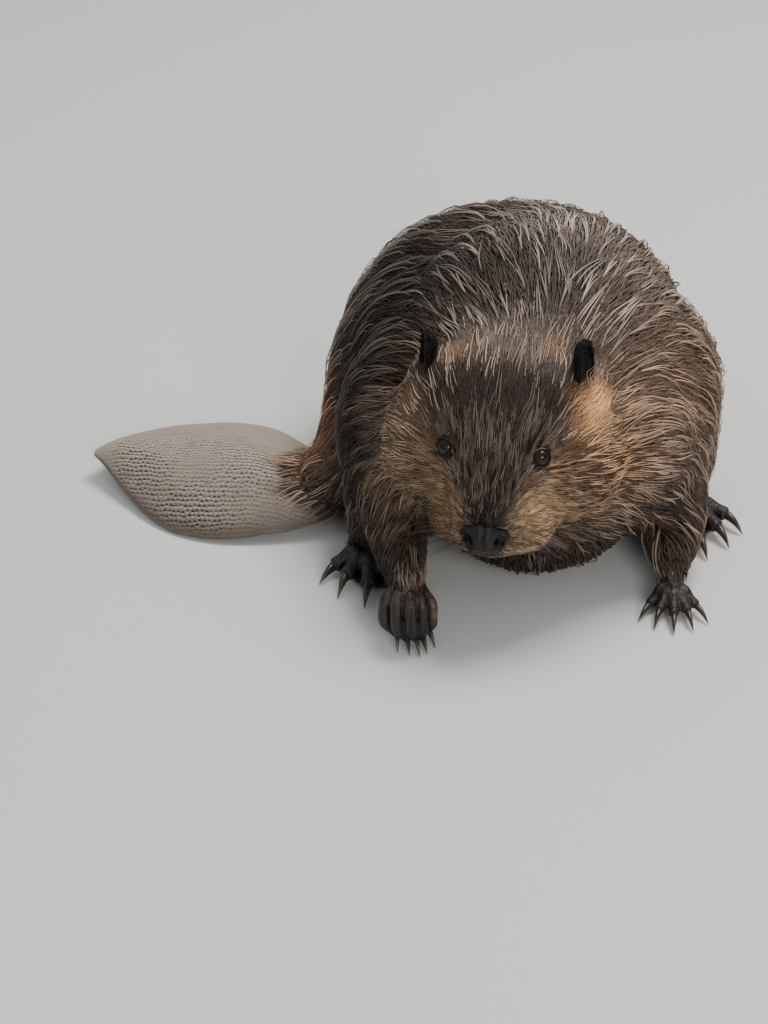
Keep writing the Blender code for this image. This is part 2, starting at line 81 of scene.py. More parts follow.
def smooth_step(low, high, values):
    """0 below low, 1 above high, and the curve 3t^2 - 2t^3 between them."""
    share = np.clip((values - low) / (high - low), 0, 1)
    return share * share * (3 - 2 * share)


# %% [markdown]
# ## The head's own axes
#
# The head is lowered and turned, so world axes are awkward on it. Two eyes and a
# nose are enough to find its own: x runs to the animal's left, y from the nose
# back along the skull, z up out of the forehead. The line from the nose pad to
# the point between the eyes climbs at a known slope in those axes, and that
# fixes the last turn. The origin is the front of the muzzle.

# %% The head's own axes
BRIDGE_SLOPE = math.radians(22.8)
BETWEEN_EYES = np.array([0.0, 60.5, 20.0]) * MM

eye_middle = (middle("eye_left") + middle("eye_right")) / 2
across = unit(middle("eye_left") - middle("eye_right"))
bridge = unit(eye_middle - middle("nose"))
out_of_bridge = unit(np.cross(across, bridge))
back = bridge * math.cos(BRIDGE_SLOPE) - out_of_bridge * math.sin(BRIDGE_SLOPE)
head_axes = np.stack([across, back, np.cross(across, back)])
head_origin = eye_middle - BETWEEN_EYES @ head_axes


def from_head(points):
    """World places of points given in millimetres in the head's axes."""
    return head_origin + np.asarray(points, float) * MM @ head_axes


def to_head(points):
    """The reverse: millimetres in the head's axes."""
    return (points - head_origin) @ head_axes.T / MM


for node in ("eye_left", "nose"):
    print(node, "at", np.round(to_head(middle(node)), 1), "mm in the head's axes")

# %% [markdown]
# ## The room
#
# A plain pale floor, one broad soft light overhead as from an open sky, and a
# weaker one from the front so that the lowered face is not lost in shade. Both
# hang a little to the animal's left. The camera stands some 1.6 m in front of
# the eyes and 1 m above them, and looks down.

# %% The room
CAMERA_FROM_EYES = np.array([-0.0771, -1.5929, 1.0035])
CAMERA_DIP = math.radians(33.5)
LENS, SENSOR = 94.2, 36.0  # millimetres
LIT_PLACE = Vector((0, 0, 0.1))
AIR_COLOUR, AIR_STRENGTH = (0.80, 0.84, 0.88, 1), 0.6


def add_camera():
    """A camera that looks along +Y and dips; it is placed from the eyes."""
    camera = bpy.data.objects.new("camera", bpy.data.cameras.new("camera"))
    camera.data.lens, camera.data.sensor_width = LENS, SENSOR
    camera.location = eye_middle + CAMERA_FROM_EYES
    camera.rotation_euler = (math.pi / 2 - CAMERA_DIP, 0, 0)
    bpy.context.scene.collection.objects.link(camera)
    bpy.context.scene.camera = camera


def add_light(name, place, size, power, colour):
    """A square area light that faces the animal: metres and watts."""
    lamp = bpy.data.lights.new(name, "AREA")
    lamp.size, lamp.energy, lamp.color = size, power, colour
    light = bpy.data.objects.new(name, lamp)
    light.location = place
    facing = LIT_PLACE - Vector(place)
    light.rotation_euler = facing.to_track_quat("-Z", "Y").to_euler()
    bpy.context.scene.collection.objects.link(light)


add_camera()
add_light("sky", (0.7, 0.4, 2.4), 1.1, 52, (1.0, 0.98, 0.95))
add_light("front", (0.7, -2.3, 1.2), 0.9, 26, (1.0, 0.97, 0.93))
world = bpy.data.worlds.new("air")
world.use_nodes = True
air = world.node_tree.nodes["Background"].inputs
air["Color"].default_value, air["Strength"].default_value = AIR_COLOUR, AIR_STRENGTH
bpy.context.scene.world = world

# %% [markdown]
# ## Writing materials as sums
#
# A material is a small circuit of nodes. It reads better as arithmetic, so a
# `Wire` wraps one output socket and overloads + and *: an expression on wires
# adds the Math nodes for it. One method, `node`, adds any other node.

# %% Materials as arithmetic
class Wire:
    """One output of a material's nodes, which can be used like a number."""

    def __init__(self, tree, socket=None):
        self.tree, self.socket = tree, socket

    def node(self, kind, settings=None, inputs=None, output=0):
        """Adds a node: its settings first, then the values or links of its sockets."""
        made = self.tree.nodes.new(kind)
        for name, value in (settings or {}).items():
            setattr(made, name, value)
        for name, value in (inputs or {}).items():
            if isinstance(value, Wire):
                self.tree.links.new(value.socket, made.inputs[name])
            else:
                made.inputs[name].default_value = value
        return Wire(self.tree, made.outputs[output])

    def math(self, operation, *values):
        return self.node("ShaderNodeMath", {"operation": operation}, dict(enumerate(values)))

    def __add__(self, other):
        return self.math("ADD", self, other)

    def __mul__(self, other):
        return self.math("MULTIPLY", self, other)

    __radd__, __rmul__ = __add__, __mul__

    def between(self, low, high):
        """0 to 1 as this wire goes from low to high."""
        mapped = {"Value": self, "From Min": low, "From Max": high}
        return self.node("ShaderNodeMapRange", {"clamp": True}, mapped)

    def noise(self, scale, detail):
        """Soft random values from 0 to 1, this wire giving the place."""
        inputs = {"Vector": self, "Scale": scale, "Detail": detail}
        return self.node("ShaderNodeTexNoise", None, inputs)

    def cells(self, scale):
        """Distance to the nearest of many scattered points."""
        inputs = {"Vector": self, "Scale": scale}
        return self.node("ShaderNodeTexVoronoi", {"feature": "F1"}, inputs)

    def mixed(self, first, second):
        """The first colour where this wire is 0, the second where it is 1."""
        inputs = {0: self, 6: first, 7: second}
        return self.node("ShaderNodeMix", {"data_type": "RGBA"}, inputs, output=2)


def material(name, fixed, looks=None):
    """A Principled surface.

    fixed holds socket values that are the same all over. looks is given the
    Object coordinates and returns what varies, by socket name, where "Relief"
    is a height in millimetres for a bump.
    """
    made = bpy.data.materials.new(name)
    made.use_nodes = True
    tree = made.node_tree
    shader = tree.nodes["Principled BSDF"]
    for socket, value in fixed.items():
        shader.inputs[socket].default_value = value
    place = Wire(tree).node("ShaderNodeTexCoord", output="Object")
    for socket, wire in (looks(place) if looks else {}).items():
        if socket == "Relief":
            inputs = {"Height": wire, "Distance": MM, "Strength": 1.0}
            socket, wire = "Normal", wire.node("ShaderNodeBump", None, inputs)
        tree.links.new(wire.socket, shader.inputs[socket])
    return made


MARKINGS = "markings"


def painted(place):
    """The colour that a piece carries at each of its points."""
    return place.node("ShaderNodeAttribute", {"attribute_name": MARKINGS}, output="Color")

# %% [markdown]
# ## Meshes from whole arrays
#
# Every new piece is worked out as arrays of points and faces. `filled_mesh` puts such arrays into a
# mesh in one go. `piece` gives a finished mesh its material, hangs it on the body and hides the
# solids it stands for. `grid_faces` gives the faces of a surface computed on a grid of two
# parameters.

# %% Meshes from whole arrays
JOINED_WITHIN = 1e-6  # corners of a solid's loose triangles that are one point
pieces = {}


def filled_mesh(name, points, faces):
    """A mesh from an array of points and one of triangles or quads."""
    mesh = bpy.data.meshes.new(name)
    faces = np.asarray(faces, np.int32)
    count, sides = faces.shape
    mesh.vertices.add(len(points))
    mesh.vertices.foreach_set("co", np.asarray(points, np.float32).ravel())
    mesh.loops.add(count * sides)
    mesh.loops.foreach_set("vertex_index", faces.ravel())
    mesh.polygons.add(count)
    starts = np.arange(0, count * sides, sides, dtype=np.int32)
    mesh.polygons.foreach_set("loop_start", starts)
    mesh.update(calc_edges=True)
    mesh.shade_smooth()
    return mesh


def linked(name, mesh):
    """An object of that mesh, in the scene."""
    made = bpy.data.objects.new(name, mesh)
    bpy.context.scene.collection.objects.link(made)
    return made


def piece(name, mesh, finish, replaced=()):
    """Adds a finished piece: its material, its body, what it replaces."""
    made = linked(name, mesh)
    mesh.materials.clear()
    mesh.materials.append(finish)
    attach(made, "root")
    if replaced:
        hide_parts(*replaced)
    mesh.calc_loop_triangles()
    pieces[name] = len(mesh.loop_triangles)
    print(f"{name}: {pieces[name]} triangles")


def set_points(mesh, name, values, kind="FLOAT_VECTOR"):
    """Stores one value for each point of the mesh under that name."""
    field = "color" if "COLOR" in kind else "vector"
    made = mesh.attributes.new(name, kind, "POINT")
    made.data.foreach_set(field, np.asarray(values, np.float32).ravel())


def get_points(mesh, name):
    """The vectors that set_points stored under that name."""
    found = np.empty(len(mesh.vertices) * 3, np.float32)
    mesh.attributes[name].data.foreach_get("vector", found)
    return found.reshape(-1, 3).astype(float)


def paint(mesh, colours):
    """Stores a colour for each point, which `painted` reads."""
    full = np.column_stack([colours, np.ones(len(colours))])
    set_points(mesh, MARKINGS, full, "FLOAT_COLOR")


def grid_faces(rows, columns):
    """Quads of a grid of rows x columns points, its last column joined to the first."""
    row = np.arange(rows - 1)[:, None]
    column = np.arange(columns)[None, :]
    following = (column + 1) % columns
    corner = [
        row * columns + column,
        row * columns + following,
        (row + 1) * columns + following,
        (row + 1) * columns + column,
    ]
    return np.stack(np.broadcast_arrays(*corner), axis=-1).reshape(-1, 4)


def evaluated(made):
    """The object's mesh after its modifiers; the object itself goes."""
    bpy.context.view_layer.update()
    graph = bpy.context.evaluated_depsgraph_get()
    mesh = bpy.data.meshes.new_from_object(made.evaluated_get(graph))
    bpy.data.objects.remove(made, do_unlink=True)
    return mesh


def moved(mesh, points):
    """Puts the points of a mesh at new places."""
    mesh.vertices.foreach_set("co", points.astype(np.float32).ravel())


def arrays_of(mesh):
    """(points, vertex normals) of a mesh."""
    points = np.empty(len(mesh.vertices) * 3, np.float32)
    mesh.vertices.foreach_get("co", points)
    normals = np.empty(len(mesh.vertices) * 3, np.float32)
    mesh.vertex_normals.foreach_get("vector", normals)
    return points.reshape(-1, 3).astype(float), normals.reshape(-1, 3).astype(float)


def triangles_of(mesh):
    """The mesh's faces, cut into triangles."""
    mesh.calc_loop_triangles()
    found = np.empty(len(mesh.loop_triangles) * 3, np.int32)
    mesh.loop_triangles.foreach_get("vertices", found)
    return found.reshape(-1, 3)


def mended(node, swell):
    """A copy of a solid with its loose triangles joined, pushed out by swell."""
    bm = bmesh.new()
    bm.from_mesh(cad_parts[node].data)
    bmesh.ops.remove_doubles(bm, verts=bm.verts, dist=JOINED_WITHIN)
    mesh = bpy.data.meshes.new(node + "_copy")
    bm.to_mesh(mesh)
    bm.free()
    points, normals = arrays_of(mesh)
    moved(mesh, points + normals * swell)
    return mesh


def fused(meshes, voxel, softening):
    """One skin round several closed meshes: voxel remesh, then smoothing."""
    bm = bmesh.new()
    for mesh in meshes:
        bm.from_mesh(mesh)
    joined = bpy.data.meshes.new("joined")
    bm.to_mesh(joined)
    bm.free()
    made = linked("joined", joined)
    remesh = made.modifiers.new("skin", "REMESH")
    remesh.mode, remesh.voxel_size = "VOXEL", voxel
    smooth = made.modifiers.new("soften", "SMOOTH")
    smooth.factor, smooth.iterations = 0.5, softening
    return evaluated(made)


# %% [markdown]
# ## The coat chart
#
# A taxidermist combs a coat by a chart: at each landmark of the body, which way
# the hair lies, how long it is and how deep the coat stands. The chart below
# does the same. A landmark on the body is a share of a solid's box; one on the
# head is in millimetres in the head's axes, and those off the middle are made
# on both sides. Between landmarks everything blends by a bell curve of the
# distance, and the lie is then pressed flat on the skin.
#
# Columns: place, reach, lie, length, depth, wave, and wetness, which is how
# sharply the hairs of a lock run together at its tip. Lengths are millimetres.

# %% The coat chart
HEAD_CHART = {
    "face": [
        ((0, 8, 10), 9, (0, 1, 0.5), 3.0, 0.8, 0.0, 0.3),
        ((0, 35, 22), 13, (0, 1, 0.5), 13.0, 1.8, 0.6, 0.7),
        ((0, 60, 32), 14, (0, 1, 0.3), 22.0, 2.8, 0.8, 0.85),
        ((24, 72, 28), 10, (0.15, 1, 0.2), 20.0, 2.6, 0.8, 0.8),
        ((22, 14, 0), 9, (0.9, 0.7, -0.1), 4.0, 1.0, 0.1, 0.3),
        ((26, 24, -20), 12, (0.9, 0.5, -0.6), 7.0, 1.8, 0.3, 0.4),
        ((16, 14, -40), 12, (0.5, 0.8, -0.5), 5.0, 1.6, 0.2, 0.4),
        ((0, 20, -50), 12, (0, 0.9, -0.4), 5.0, 1.6, 0.2, 0.4),
        ((42, 50, 2), 12, (0.85, 0.55, -0.45), 10.0, 2.2, 0.4, 0.5),
        ((46, 45, -24), 13, (0.85, 0.5, -0.70), 11.0, 2.8, 0.5, 0.5),
        ((30, 42, -56), 14, (0.5, 0.85, -0.4), 9.0, 3.0, 0.4, 0.5),
    ],
    "ear": [
        ((52, 126, 46), 8, (0.15, 0.5, 1), 3.2, 0.6, 0.1, 0.2),
        ((54, 121, 32), 7, (0.10, 0.3, 1), 3.4, 0.6, 0.1, 0.2),
    ],
    "crown": [
        ((0, 86, 38), 16, (0, 1, 0.1), 26.0, 4.0, 1.1, 0.85),
        ((24, 98, 40), 15, (0.05, 1, 0), 27.0, 4.5, 1.1, 0.85),
        ((0, 120, 44), 20, (0, 1, 0), 30.0, 7.0, 1.3, 0.9),
        ((30, 130, 42), 18, (0.1, 1, 0), 30.0, 7.0, 1.3, 0.9),
        ((50, 88, 22), 13, (0.6, 1, 0.1), 13.0, 3.6, 0.5, 0.7),
        ((60, 112, 26), 12, (0.6, 0.9, 0), 13.0, 4.0, 0.5, 0.6),
        ((66, 140, 26), 16, (0.4, 1, -0.2), 26.0, 7.0, 0.8, 0.8),
    ],
    "cheek": [
        ((62, 68, -8), 14, (0.85, 0.5, -0.6), 17.0, 4.0, 0.8, 0.6),
        ((76, 92, 0), 16, (0.75, 0.65, -0.6), 22.0, 5.5, 1.0, 0.6),
        ((70, 72, -36), 15, (0.75, 0.55, -0.75), 20.0, 5.0, 1.0, 0.6),
        ((84, 100, -30), 18, (0.65, 0.75, -0.55), 25.0, 6.5, 1.2, 0.65),
        ((56, 70, -66), 16, (0.5, 0.9, -0.4), 18.0, 5.5, 0.9, 0.6),
        ((0, 62, -76), 18, (0, 1, -0.2), 17.0, 5.5, 0.6, 0.6),
        ((0, 104, -88), 20, (0, 1, -0.1), 22.0, 7.0, 0.6, 0.6),
        ((70, 110, -66), 18, (0.5, 0.9, -0.4), 24.0, 7.0, 1.0, 0.65),
    ],
}
BODY_CHART = {
    "neck": [
        (("neck", 0.50, 0.80, 1.00), 40, (0.00, 1.0, 0.25), 34, 10, 0.9, 0.90),
        (("neck", 0.25, 0.75, 0.90), 34, (-0.45, 1.0, 0.10), 34, 10, 0.9, 0.90),
        (("neck", 0.78, 0.75, 0.88), 34, (0.60, 0.8, 0.00), 34, 10, 0.9, 0.85),
        (("neck", 0.02, 0.55, 0.70), 30, (-0.95, 0.3, 0.05), 28, 9, 0.7, 0.70),
        (("neck", 0.98, 0.50, 0.62), 32, (0.95, 0.3, -0.25), 32, 9, 1.0, 0.70),
        (("neck", 0.90, 0.40, 0.30), 30, (0.60, 0.5, -0.65), 30, 9, 1.0, 0.65),
        (("neck", 0.20, 0.30, 0.20), 30, (-0.20, 0.6, -0.80), 22, 7, 0.6, 0.60),
        (("neck", 0.55, 0.10, 0.10), 34, (0.00, 0.8, -0.70), 24, 8, 0.6, 0.60),
    ],
    "back": [
        (("trunk", 0.10, 0.30, 1.00), 40, (-0.25, 1.0, 0.00), 40, 12, 1.0, 0.95),
        (("trunk", 0.45, 0.40, 1.00), 42, (0.10, 1.0, 0.00), 40, 12, 1.0, 0.95),
        (("trunk", 0.75, 0.40, 0.90), 40, (0.55, 0.8, -0.25), 40, 12, 1.0, 0.90),
        (("trunk", 0.15, 0.75, 0.90), 45, (-0.55, 0.8, -0.30), 42, 12, 1.0, 0.95),
        (("trunk", 0.55, 0.80, 0.80), 45, (-0.25, 0.7, -0.70), 42, 12, 1.0, 0.90),
        (("trunk", 0.30, 1.00, 0.45), 45, (-0.60, 0.2, -0.80), 38, 11, 0.9, 0.80),
    ],
    "flank": [
        (("trunk", 0.95, 0.35, 0.65), 36, (0.60, 0.6, -0.50), 38, 11, 1.1, 0.75),
        (("trunk", 1.00, 0.60, 0.50), 40, (0.10, 0.7, -0.75), 38, 11, 1.1, 0.75),
        (("trunk", 0.85, 0.90, 0.40), 42, (-0.40, 0.5, -0.80), 36, 11, 1.0, 0.75),
        (("trunk", 0.70, 0.50, 0.00), 45, (-0.10, 0.8, -0.50), 24, 8, 0.6, 0.60),
        (("trunk", 0.20, 0.40, 0.00), 45, (-0.30, 0.8, -0.30), 22, 8, 0.6, 0.60),
    ],
    "rump": [
        (("rump", 0.70, 0.25, 1.00), 36, (-0.75, 0.5, 0.05), 38, 11, 0.9, 0.90),
        (("rump", 0.30, 0.50, 0.95), 38, (-0.85, 0.4, -0.30), 38, 11, 0.9, 0.85),
        (("rump", 0.00, 0.55, 0.60), 36, (-0.60, 0.1, -0.80), 32, 10, 0.8, 0.70),
        (("rump", 0.40, 1.00, 0.50), 42, (-0.75, 0.1, -0.70), 34, 10, 0.8, 0.75),
        (("rump", 0.10, 0.00, 0.75), 34, (-0.95, 0.2, 0.00), 30, 9, 0.7, 0.70),
        (("tail_root", 0.40, 0.40, 1.00), 32, (-0.75, 0.0, -0.65), 30, 9, 0.7, 0.65),
        (("tail_root", 0.00, 0.60, 0.50), 30, (-0.95, 0.0, -0.35), 26, 7, 0.6, 0.60),
        (("tail_root", 0.10, 0.20, 0.20), 26, (-0.90, -0.1, -0.45), 24, 6, 0.6, 0.60),
    ],
    "legs": [
        (("hindleg_right", 0.00, 0.30, 0.85), 30, (-0.75, 0.2, -0.55), 28, 9, 0.7, 0.65),
        (("hindleg_right", 0.20, 0.40, 0.35), 26, (-0.50, 0.1, -0.85), 22, 7, 0.6, 0.60),
        (("hindleg_right", 0.40, 0.30, 0.05), 20, (-0.20, -0.2, -0.95), 15, 3, 0.4, 0.40),
        (("hindleg_left", 1.00, 0.50, 0.80), 36, (0.15, 0.6, -0.80), 34, 10, 0.9, 0.70),
        (("hindleg_left", 0.90, 0.35, 0.35), 30, (0.20, 0.3, -0.90), 26, 8, 0.7, 0.60),
        (("hindleg_left", 0.60, 0.20, 0.05), 22, (0.10, -0.2, -0.95), 15, 3, 0.4, 0.40),
        (("foreleg_right", 0.40, 0.90, 0.95), 26, (-0.60, 0.1, -0.70), 24, 7, 0.7, 0.60),
        (("foreleg_right", 0.35, 0.45, 0.55), 20, (-0.15, -0.6, -0.75), 15, 4, 0.5, 0.50),
        (("foreleg_right", 0.50, 0.08, 0.20), 15, (0.00, -0.6, -0.80), 13, 2.2, 0.4, 0.45),
        (("foreleg_left", 0.90, 0.80, 0.85), 28, (0.65, 0.2, -0.70), 28, 8, 0.8, 0.60),
        (("foreleg_left", 0.75, 0.45, 0.45), 22, (0.35, -0.2, -0.90), 20, 5, 0.6, 0.55),
        (("foreleg_left", 0.60, 0.08, 0.12), 16, (0.00, -0.7, -0.70), 12, 2.4, 0.3, 0.40),
    ],
}


def both_sides(row):
    """A head landmark, and its mirror image where it is off the middle."""
    (x, y, z), reach, (lie_x, lie_y, lie_z), *rest = row
    for sign in (1, -1) if x else (1,):
        lie = np.array([sign * lie_x, lie_y, lie_z]) @ head_axes
        yield from_head([sign * x, y, z]), reach, lie, *rest


def at_share(node, x, y, z):
    """The place at those shares of a solid's box."""
    low, high = corners(node)
    return low + (high - low) * [x, y, z]


chart, areas = [], []
for area, rows in HEAD_CHART.items():
    for row in rows:
        for made in both_sides(row):
            chart.append(made)
            areas.append(area)
for area, rows in BODY_CHART.items():
    for place, *rest in rows:
        chart.append((at_share(*place), *rest))
        areas.append(area)
AREAS = list(dict.fromkeys(areas))
chart_area = np.array([AREAS.index(area) for area in areas])
chart_place = np.array([row[0] for row in chart])
chart_reach = np.array([row[1] for row in chart]) * MM
chart_lie = unit(np.array([row[2] for row in chart], float))
chart_cut = np.array([row[3:7] for row in chart], float) * [MM, MM, MM, 1]


def combed(points):
    """(lie, cut, area) at each point, by bell curves round the landmarks.

    The weight of a landmark is exp(-d^2 / 2 reach^2), made to add up to one.
    cut is length, depth, wave and wetness; area is the landmark of most weight.
    """
    distance = np.linalg.norm(points[:, None] - chart_place[None], axis=2)
    power = -0.5 * (distance / chart_reach) ** 2
    weight = np.exp(power - power.max(axis=1, keepdims=True))
    weight /= weight.sum(axis=1, keepdims=True)
    return unit(weight @ chart_lie), weight @ chart_cut, chart_area[weight.argmax(axis=1)]


print(len(chart), "landmarks in", len(AREAS), "areas")

# %% [markdown]
# ## Tubes
#
# Toes, claws and whiskers are all one shape: a round profile carried along a
# path, its radius changing on the way. The rings stand square to the path, and a
# point closes each end, so that the tube is a solid.

# %% Tubes
def closed_rows(rows, columns):
    """Triangles of a grid of rings, with a pole before the first and after the last."""
    around = np.arange(columns)
    following = (around + 1) % columns
    last = (rows - 1) * columns
    poles = [np.full(columns, rows * columns + number) for number in (0, 1)]
    first_cap = np.stack([following, around, poles[0]], axis=1)
    last_cap = np.stack([last + around, last + following, poles[1]], axis=1)
    return np.vstack([halved(grid_faces(rows, columns)), first_cap, last_cap])


def halved(quads):
    """Each quad as two triangles."""
    return np.vstack([quads[:, :3], quads[:, [0, 2, 3]]])


def outward(mesh):
    """Turns every face of a closed mesh outwards."""
    bm = bmesh.new()
    bm.from_mesh(mesh)
    bmesh.ops.recalc_face_normals(bm, faces=bm.faces)
    bm.to_mesh(mesh)
    bm.free()
    return mesh


def swept(path, radii, sides, flatness=1.0, upright=(0, 0, 1)):
    """(points, triangles) of a closed tube.

    A ring point is path + side * r cos(a) + top * r flatness sin(a), where the
    side is square to the path and to `upright`, and the top is square to both.
    """
    path = np.asarray(path, float)
    radii = np.asarray(radii, float)[:, None, None]
    ahead = unit(np.gradient(path, axis=0))
    side = unit(np.cross(ahead, upright))
    top = np.cross(side, ahead)
    turn = np.linspace(0, 2 * np.pi, sides, endpoint=False)[None, :, None]
    rings = side[:, None] * np.cos(turn) + top[:, None] * np.sin(turn) * flatness
    rings = path[:, None] + rings * radii
    start = path[0] - ahead[0] * radii[0, 0] * 0.5
    end = path[-1] + ahead[-1] * radii[-1, 0] * 0.5
    return np.vstack([rings.reshape(-1, 3), start, end]), closed_rows(len(path), sides)


def along(stations, share):
    """Rows of numbers eased between stations by a Catmull-Rom curve, share 0 to 1."""
    stations = np.asarray(stations, float)
    before, after = 2 * stations[0] - stations[1], 2 * stations[-1] - stations[-2]
    padded = np.vstack([before, stations, after])
    place = np.clip(share, 0, 1) * (len(stations) - 1)
    first = np.minimum(place.astype(int), len(stations) - 2)
    t = (place - first)[:, None]
    a, b, c, d = (padded[first + k] for k in range(4))
    return b + 0.5 * t * (c - a + t * (2 * a - 5 * b + 4 * c - d + t * (3 * (b - c) + d - a)))


def joined(parts):
    """One (points, triangles) from several."""
    starts = np.cumsum([0] + [len(points) for points, _ in parts[:-1]])
    faces = np.vstack([faces + start for (_, faces), start in zip(parts, starts)])
    return np.vstack([points for points, _ in parts]), faces

# %% [markdown]
# ## Markings
#
# Skin and coat share one set of markings, so that the skin never shines through in a wrong colour.
# There are two colours at every place: `deep` is the wet dark hair near the skin and `pale` the
# bleached ends of the guard hairs. Both start as the brown of the back, and each marking below
# tints them by a bell curve round its own place. Many of the body's markings, and one under the
# head, are painted light and shade rather than the coat's own colour. The top of the back and its
# left side are painted paler, as painted light and a painted reflection of the sky on the wet coat.
# The middle of the back, the animal's right side, the chest, the belly and the underside of the
# head are painted darker as shade.
#
# Columns: place, reach along each axis in millimetres, deep, pale, strength.

# %% Markings, with painted light and shade
BACK_DEEP, BACK_PALE = np.array([0.080, 0.059, 0.047]), np.array([0.60, 0.485, 0.40])
CAP_DEEP, CAP_PALE = np.array([0.017, 0.0125, 0.0100]), np.array([0.25, 0.192, 0.150])
HEAD_MARKINGS_AND_UNDER_SHADE = [
    ((80, 85, -20), (44, 54, 44), (0.045, 0.025, 0.013), (0.92, 0.540, 0.305), 1.0),
    ((46, 60, -44), (30, 44, 32), (0.050, 0.027, 0.014), (0.46, 0.268, 0.145), 0.9),
    ((52, 66, 8), (18, 22, 16), (0.075, 0.039, 0.019), (0.62, 0.360, 0.200), 0.9),
    ((34, 28, -10), (19, 26, 24), (0.420, 0.252, 0.128), (1.00, 0.720, 0.420), 1.0),
    ((14, 14, -42), (20, 16, 14), (0.080, 0.050, 0.028), (0.40, 0.280, 0.170), 0.8),
    # painted shade: the underside of the head darker
    ((0, 60, -90), (70, 60, 26), (0.022, 0.016, 0.012), (0.16, 0.115, 0.080), 0.9),
]
PATCH_MARKINGS = [
    ((0, 138, 46), (54, 22, 30), (0.175, 0.125, 0.096), (0.56, 0.420, 0.325), 0.85),
    ((-58, 50, -44), (26, 34, 26), (0.125, 0.085, 0.055), (0.52, 0.370, 0.245), 0.8),
    ((68, 104, 18), (15, 19, 15), (0.950, 0.490, 0.215), (1.00, 0.640, 0.290), 1.0),
    ((84, 112, 8), (14, 18, 18), (0.260, 0.150, 0.082), (0.95, 0.600, 0.330), 0.75),
    ((-68, 92, 16), (11, 19, 13), (0.220, 0.134, 0.080), (0.68, 0.480, 0.320), 0.9),
    ((-74, 66, -20), (28, 36, 32), (0.190, 0.127, 0.082), (0.70, 0.490, 0.325), 0.85),
    ((36, 141, 36), (8, 9, 9), (0.420, 0.215, 0.105), (1.00, 0.560, 0.300), 0.95),
    ((-38, 126, 41), (10, 8, 9), (0.360, 0.190, 0.095), (1.00, 0.560, 0.310), 0.95),
    ((56, 122, 34), (6, 9, 11), (0.005, 0.004, 0.004), (0.013, 0.011, 0.010), 1.0),
    ((-56, 122, 34), (6, 9, 11), (0.005, 0.004, 0.004), (0.013, 0.011, 0.010), 1.0),
    ((0, 10, 4), (17, 13, 13), (0.009, 0.007, 0.006), (0.034, 0.027, 0.022), 1.0),
    ((0, 8, -22), (8, 12, 14), (0.014, 0.011, 0.010), (0.06, 0.045, 0.036), 0.9),
]
BODY_TONES_AND_PAINTED_LIGHT = [
    # painted light: the next two rows make the top of the back paler as a painted reflection of the
    # sky on the wet coat, and its left side paler as painted light
    (("trunk", 0.33, 0.45, 0.98), (60, 44, 44), (0.330, 0.260, 0.220), (1.00, 0.840, 0.730), 0.88),
    (("trunk", 0.75, 0.34, 0.85), (50, 60, 50), (0.225, 0.168, 0.131), (0.84, 0.670, 0.545), 0.80),
    # painted shade: the next four rows darken parts of the middle of the back and its right side
    (("neck", 0.25, 1.05, 0.85), (40, 32, 32), (0.030, 0.025, 0.021), (0.24, 0.202, 0.170), 0.85),
    (("trunk", 0.10, 0.48, 0.90), (34, 38, 30), (0.042, 0.034, 0.028), (0.36, 0.300, 0.252), 0.80),
    (("neck", 0.42, 0.88, 0.92), (50, 34, 34), (0.034, 0.027, 0.022), (0.36, 0.300, 0.250), 0.85),
    (("rump", 0.38, 0.45, 0.78), (50, 50, 50), (0.024, 0.021, 0.018), (0.22, 0.188, 0.158), 0.90),
    (("neck", 0.95, 0.60, 0.60), (60, 60, 60), (0.165, 0.105, 0.071), (0.70, 0.455, 0.305), 0.9),
    (("trunk", 1.00, 0.40, 0.45), (60, 80, 70), (0.092, 0.056, 0.036), (0.56, 0.360, 0.235), 0.9),
    # painted shade: the next rows darken the animal's right side, the chest under the neck and the
    # right foreleg
    (("rump", 0.00, 0.20, 0.55), (60, 70, 90), (0.013, 0.011, 0.009), (0.13, 0.110, 0.090), 0.95),
    (("hindleg_right", 0.1, 0.3, 0.6), (50, 60, 60), (0.012, 0.01, 0.009), (0.1, 0.085, 0.07), 0.9),
    (("neck", 0.05, 0.40, 0.50), (50, 60, 60), (0.020, 0.016, 0.013), (0.17, 0.138, 0.110), 0.9),
    (("neck", 0.45, 0.00, 0.05), (110, 70, 40), (0.018, 0.013, 0.010), (0.12, 0.088, 0.066), 0.9),
    (("foreleg_right", 0.5, 0.3, 0.35),
     (50, 60, 64), (0.006, 0.005, 0.0045), (0.042, 0.034, 0.028), 0.97),
    (("foreleg_right", 0.55, 0.02, 0.27), (9, 12, 6), (0.17, 0.118, 0.08), (0.58, 0.43, 0.3), 0.92),
    (("foreleg_left", 0.6, 0.3, 0.3),
     (40, 50, 50), (0.034, 0.024, 0.018), (0.42, 0.29, 0.195), 0.9),
    (("tail_root", 0.05, 0.35, 0.35), (50, 46, 30), (0.25, 0.13, 0.065), (0.95, 0.52, 0.265), 0.95),
    # painted shade under the belly
    (("trunk", 0.50, 0.50, 0.00), (110, 120, 40), (0.030, 0.022, 0.017), (0.24, 0.180, 0.135), 0.8),
]


def placed_markings():
    """Every marking as (place, axes, reach, deep, pale, strength), in order of blending.

    None stands for the dark cap, which goes over the fur of head and body and
    under the small patches.
    """
    for place, reach, deep, pale, strength in HEAD_MARKINGS_AND_UNDER_SHADE:
        for sign in (1, -1) if place[0] else (1,):
            yield from_head([sign * place[0], *place[1:]]), head_axes, reach, deep, pale, strength
    for place, *rest in BODY_TONES_AND_PAINTED_LIGHT:
        yield at_share(*place), np.eye(3), *rest
    yield None
    for place, *rest in PATCH_MARKINGS:
        yield from_head(place), head_axes, *rest


markings = list(placed_markings())


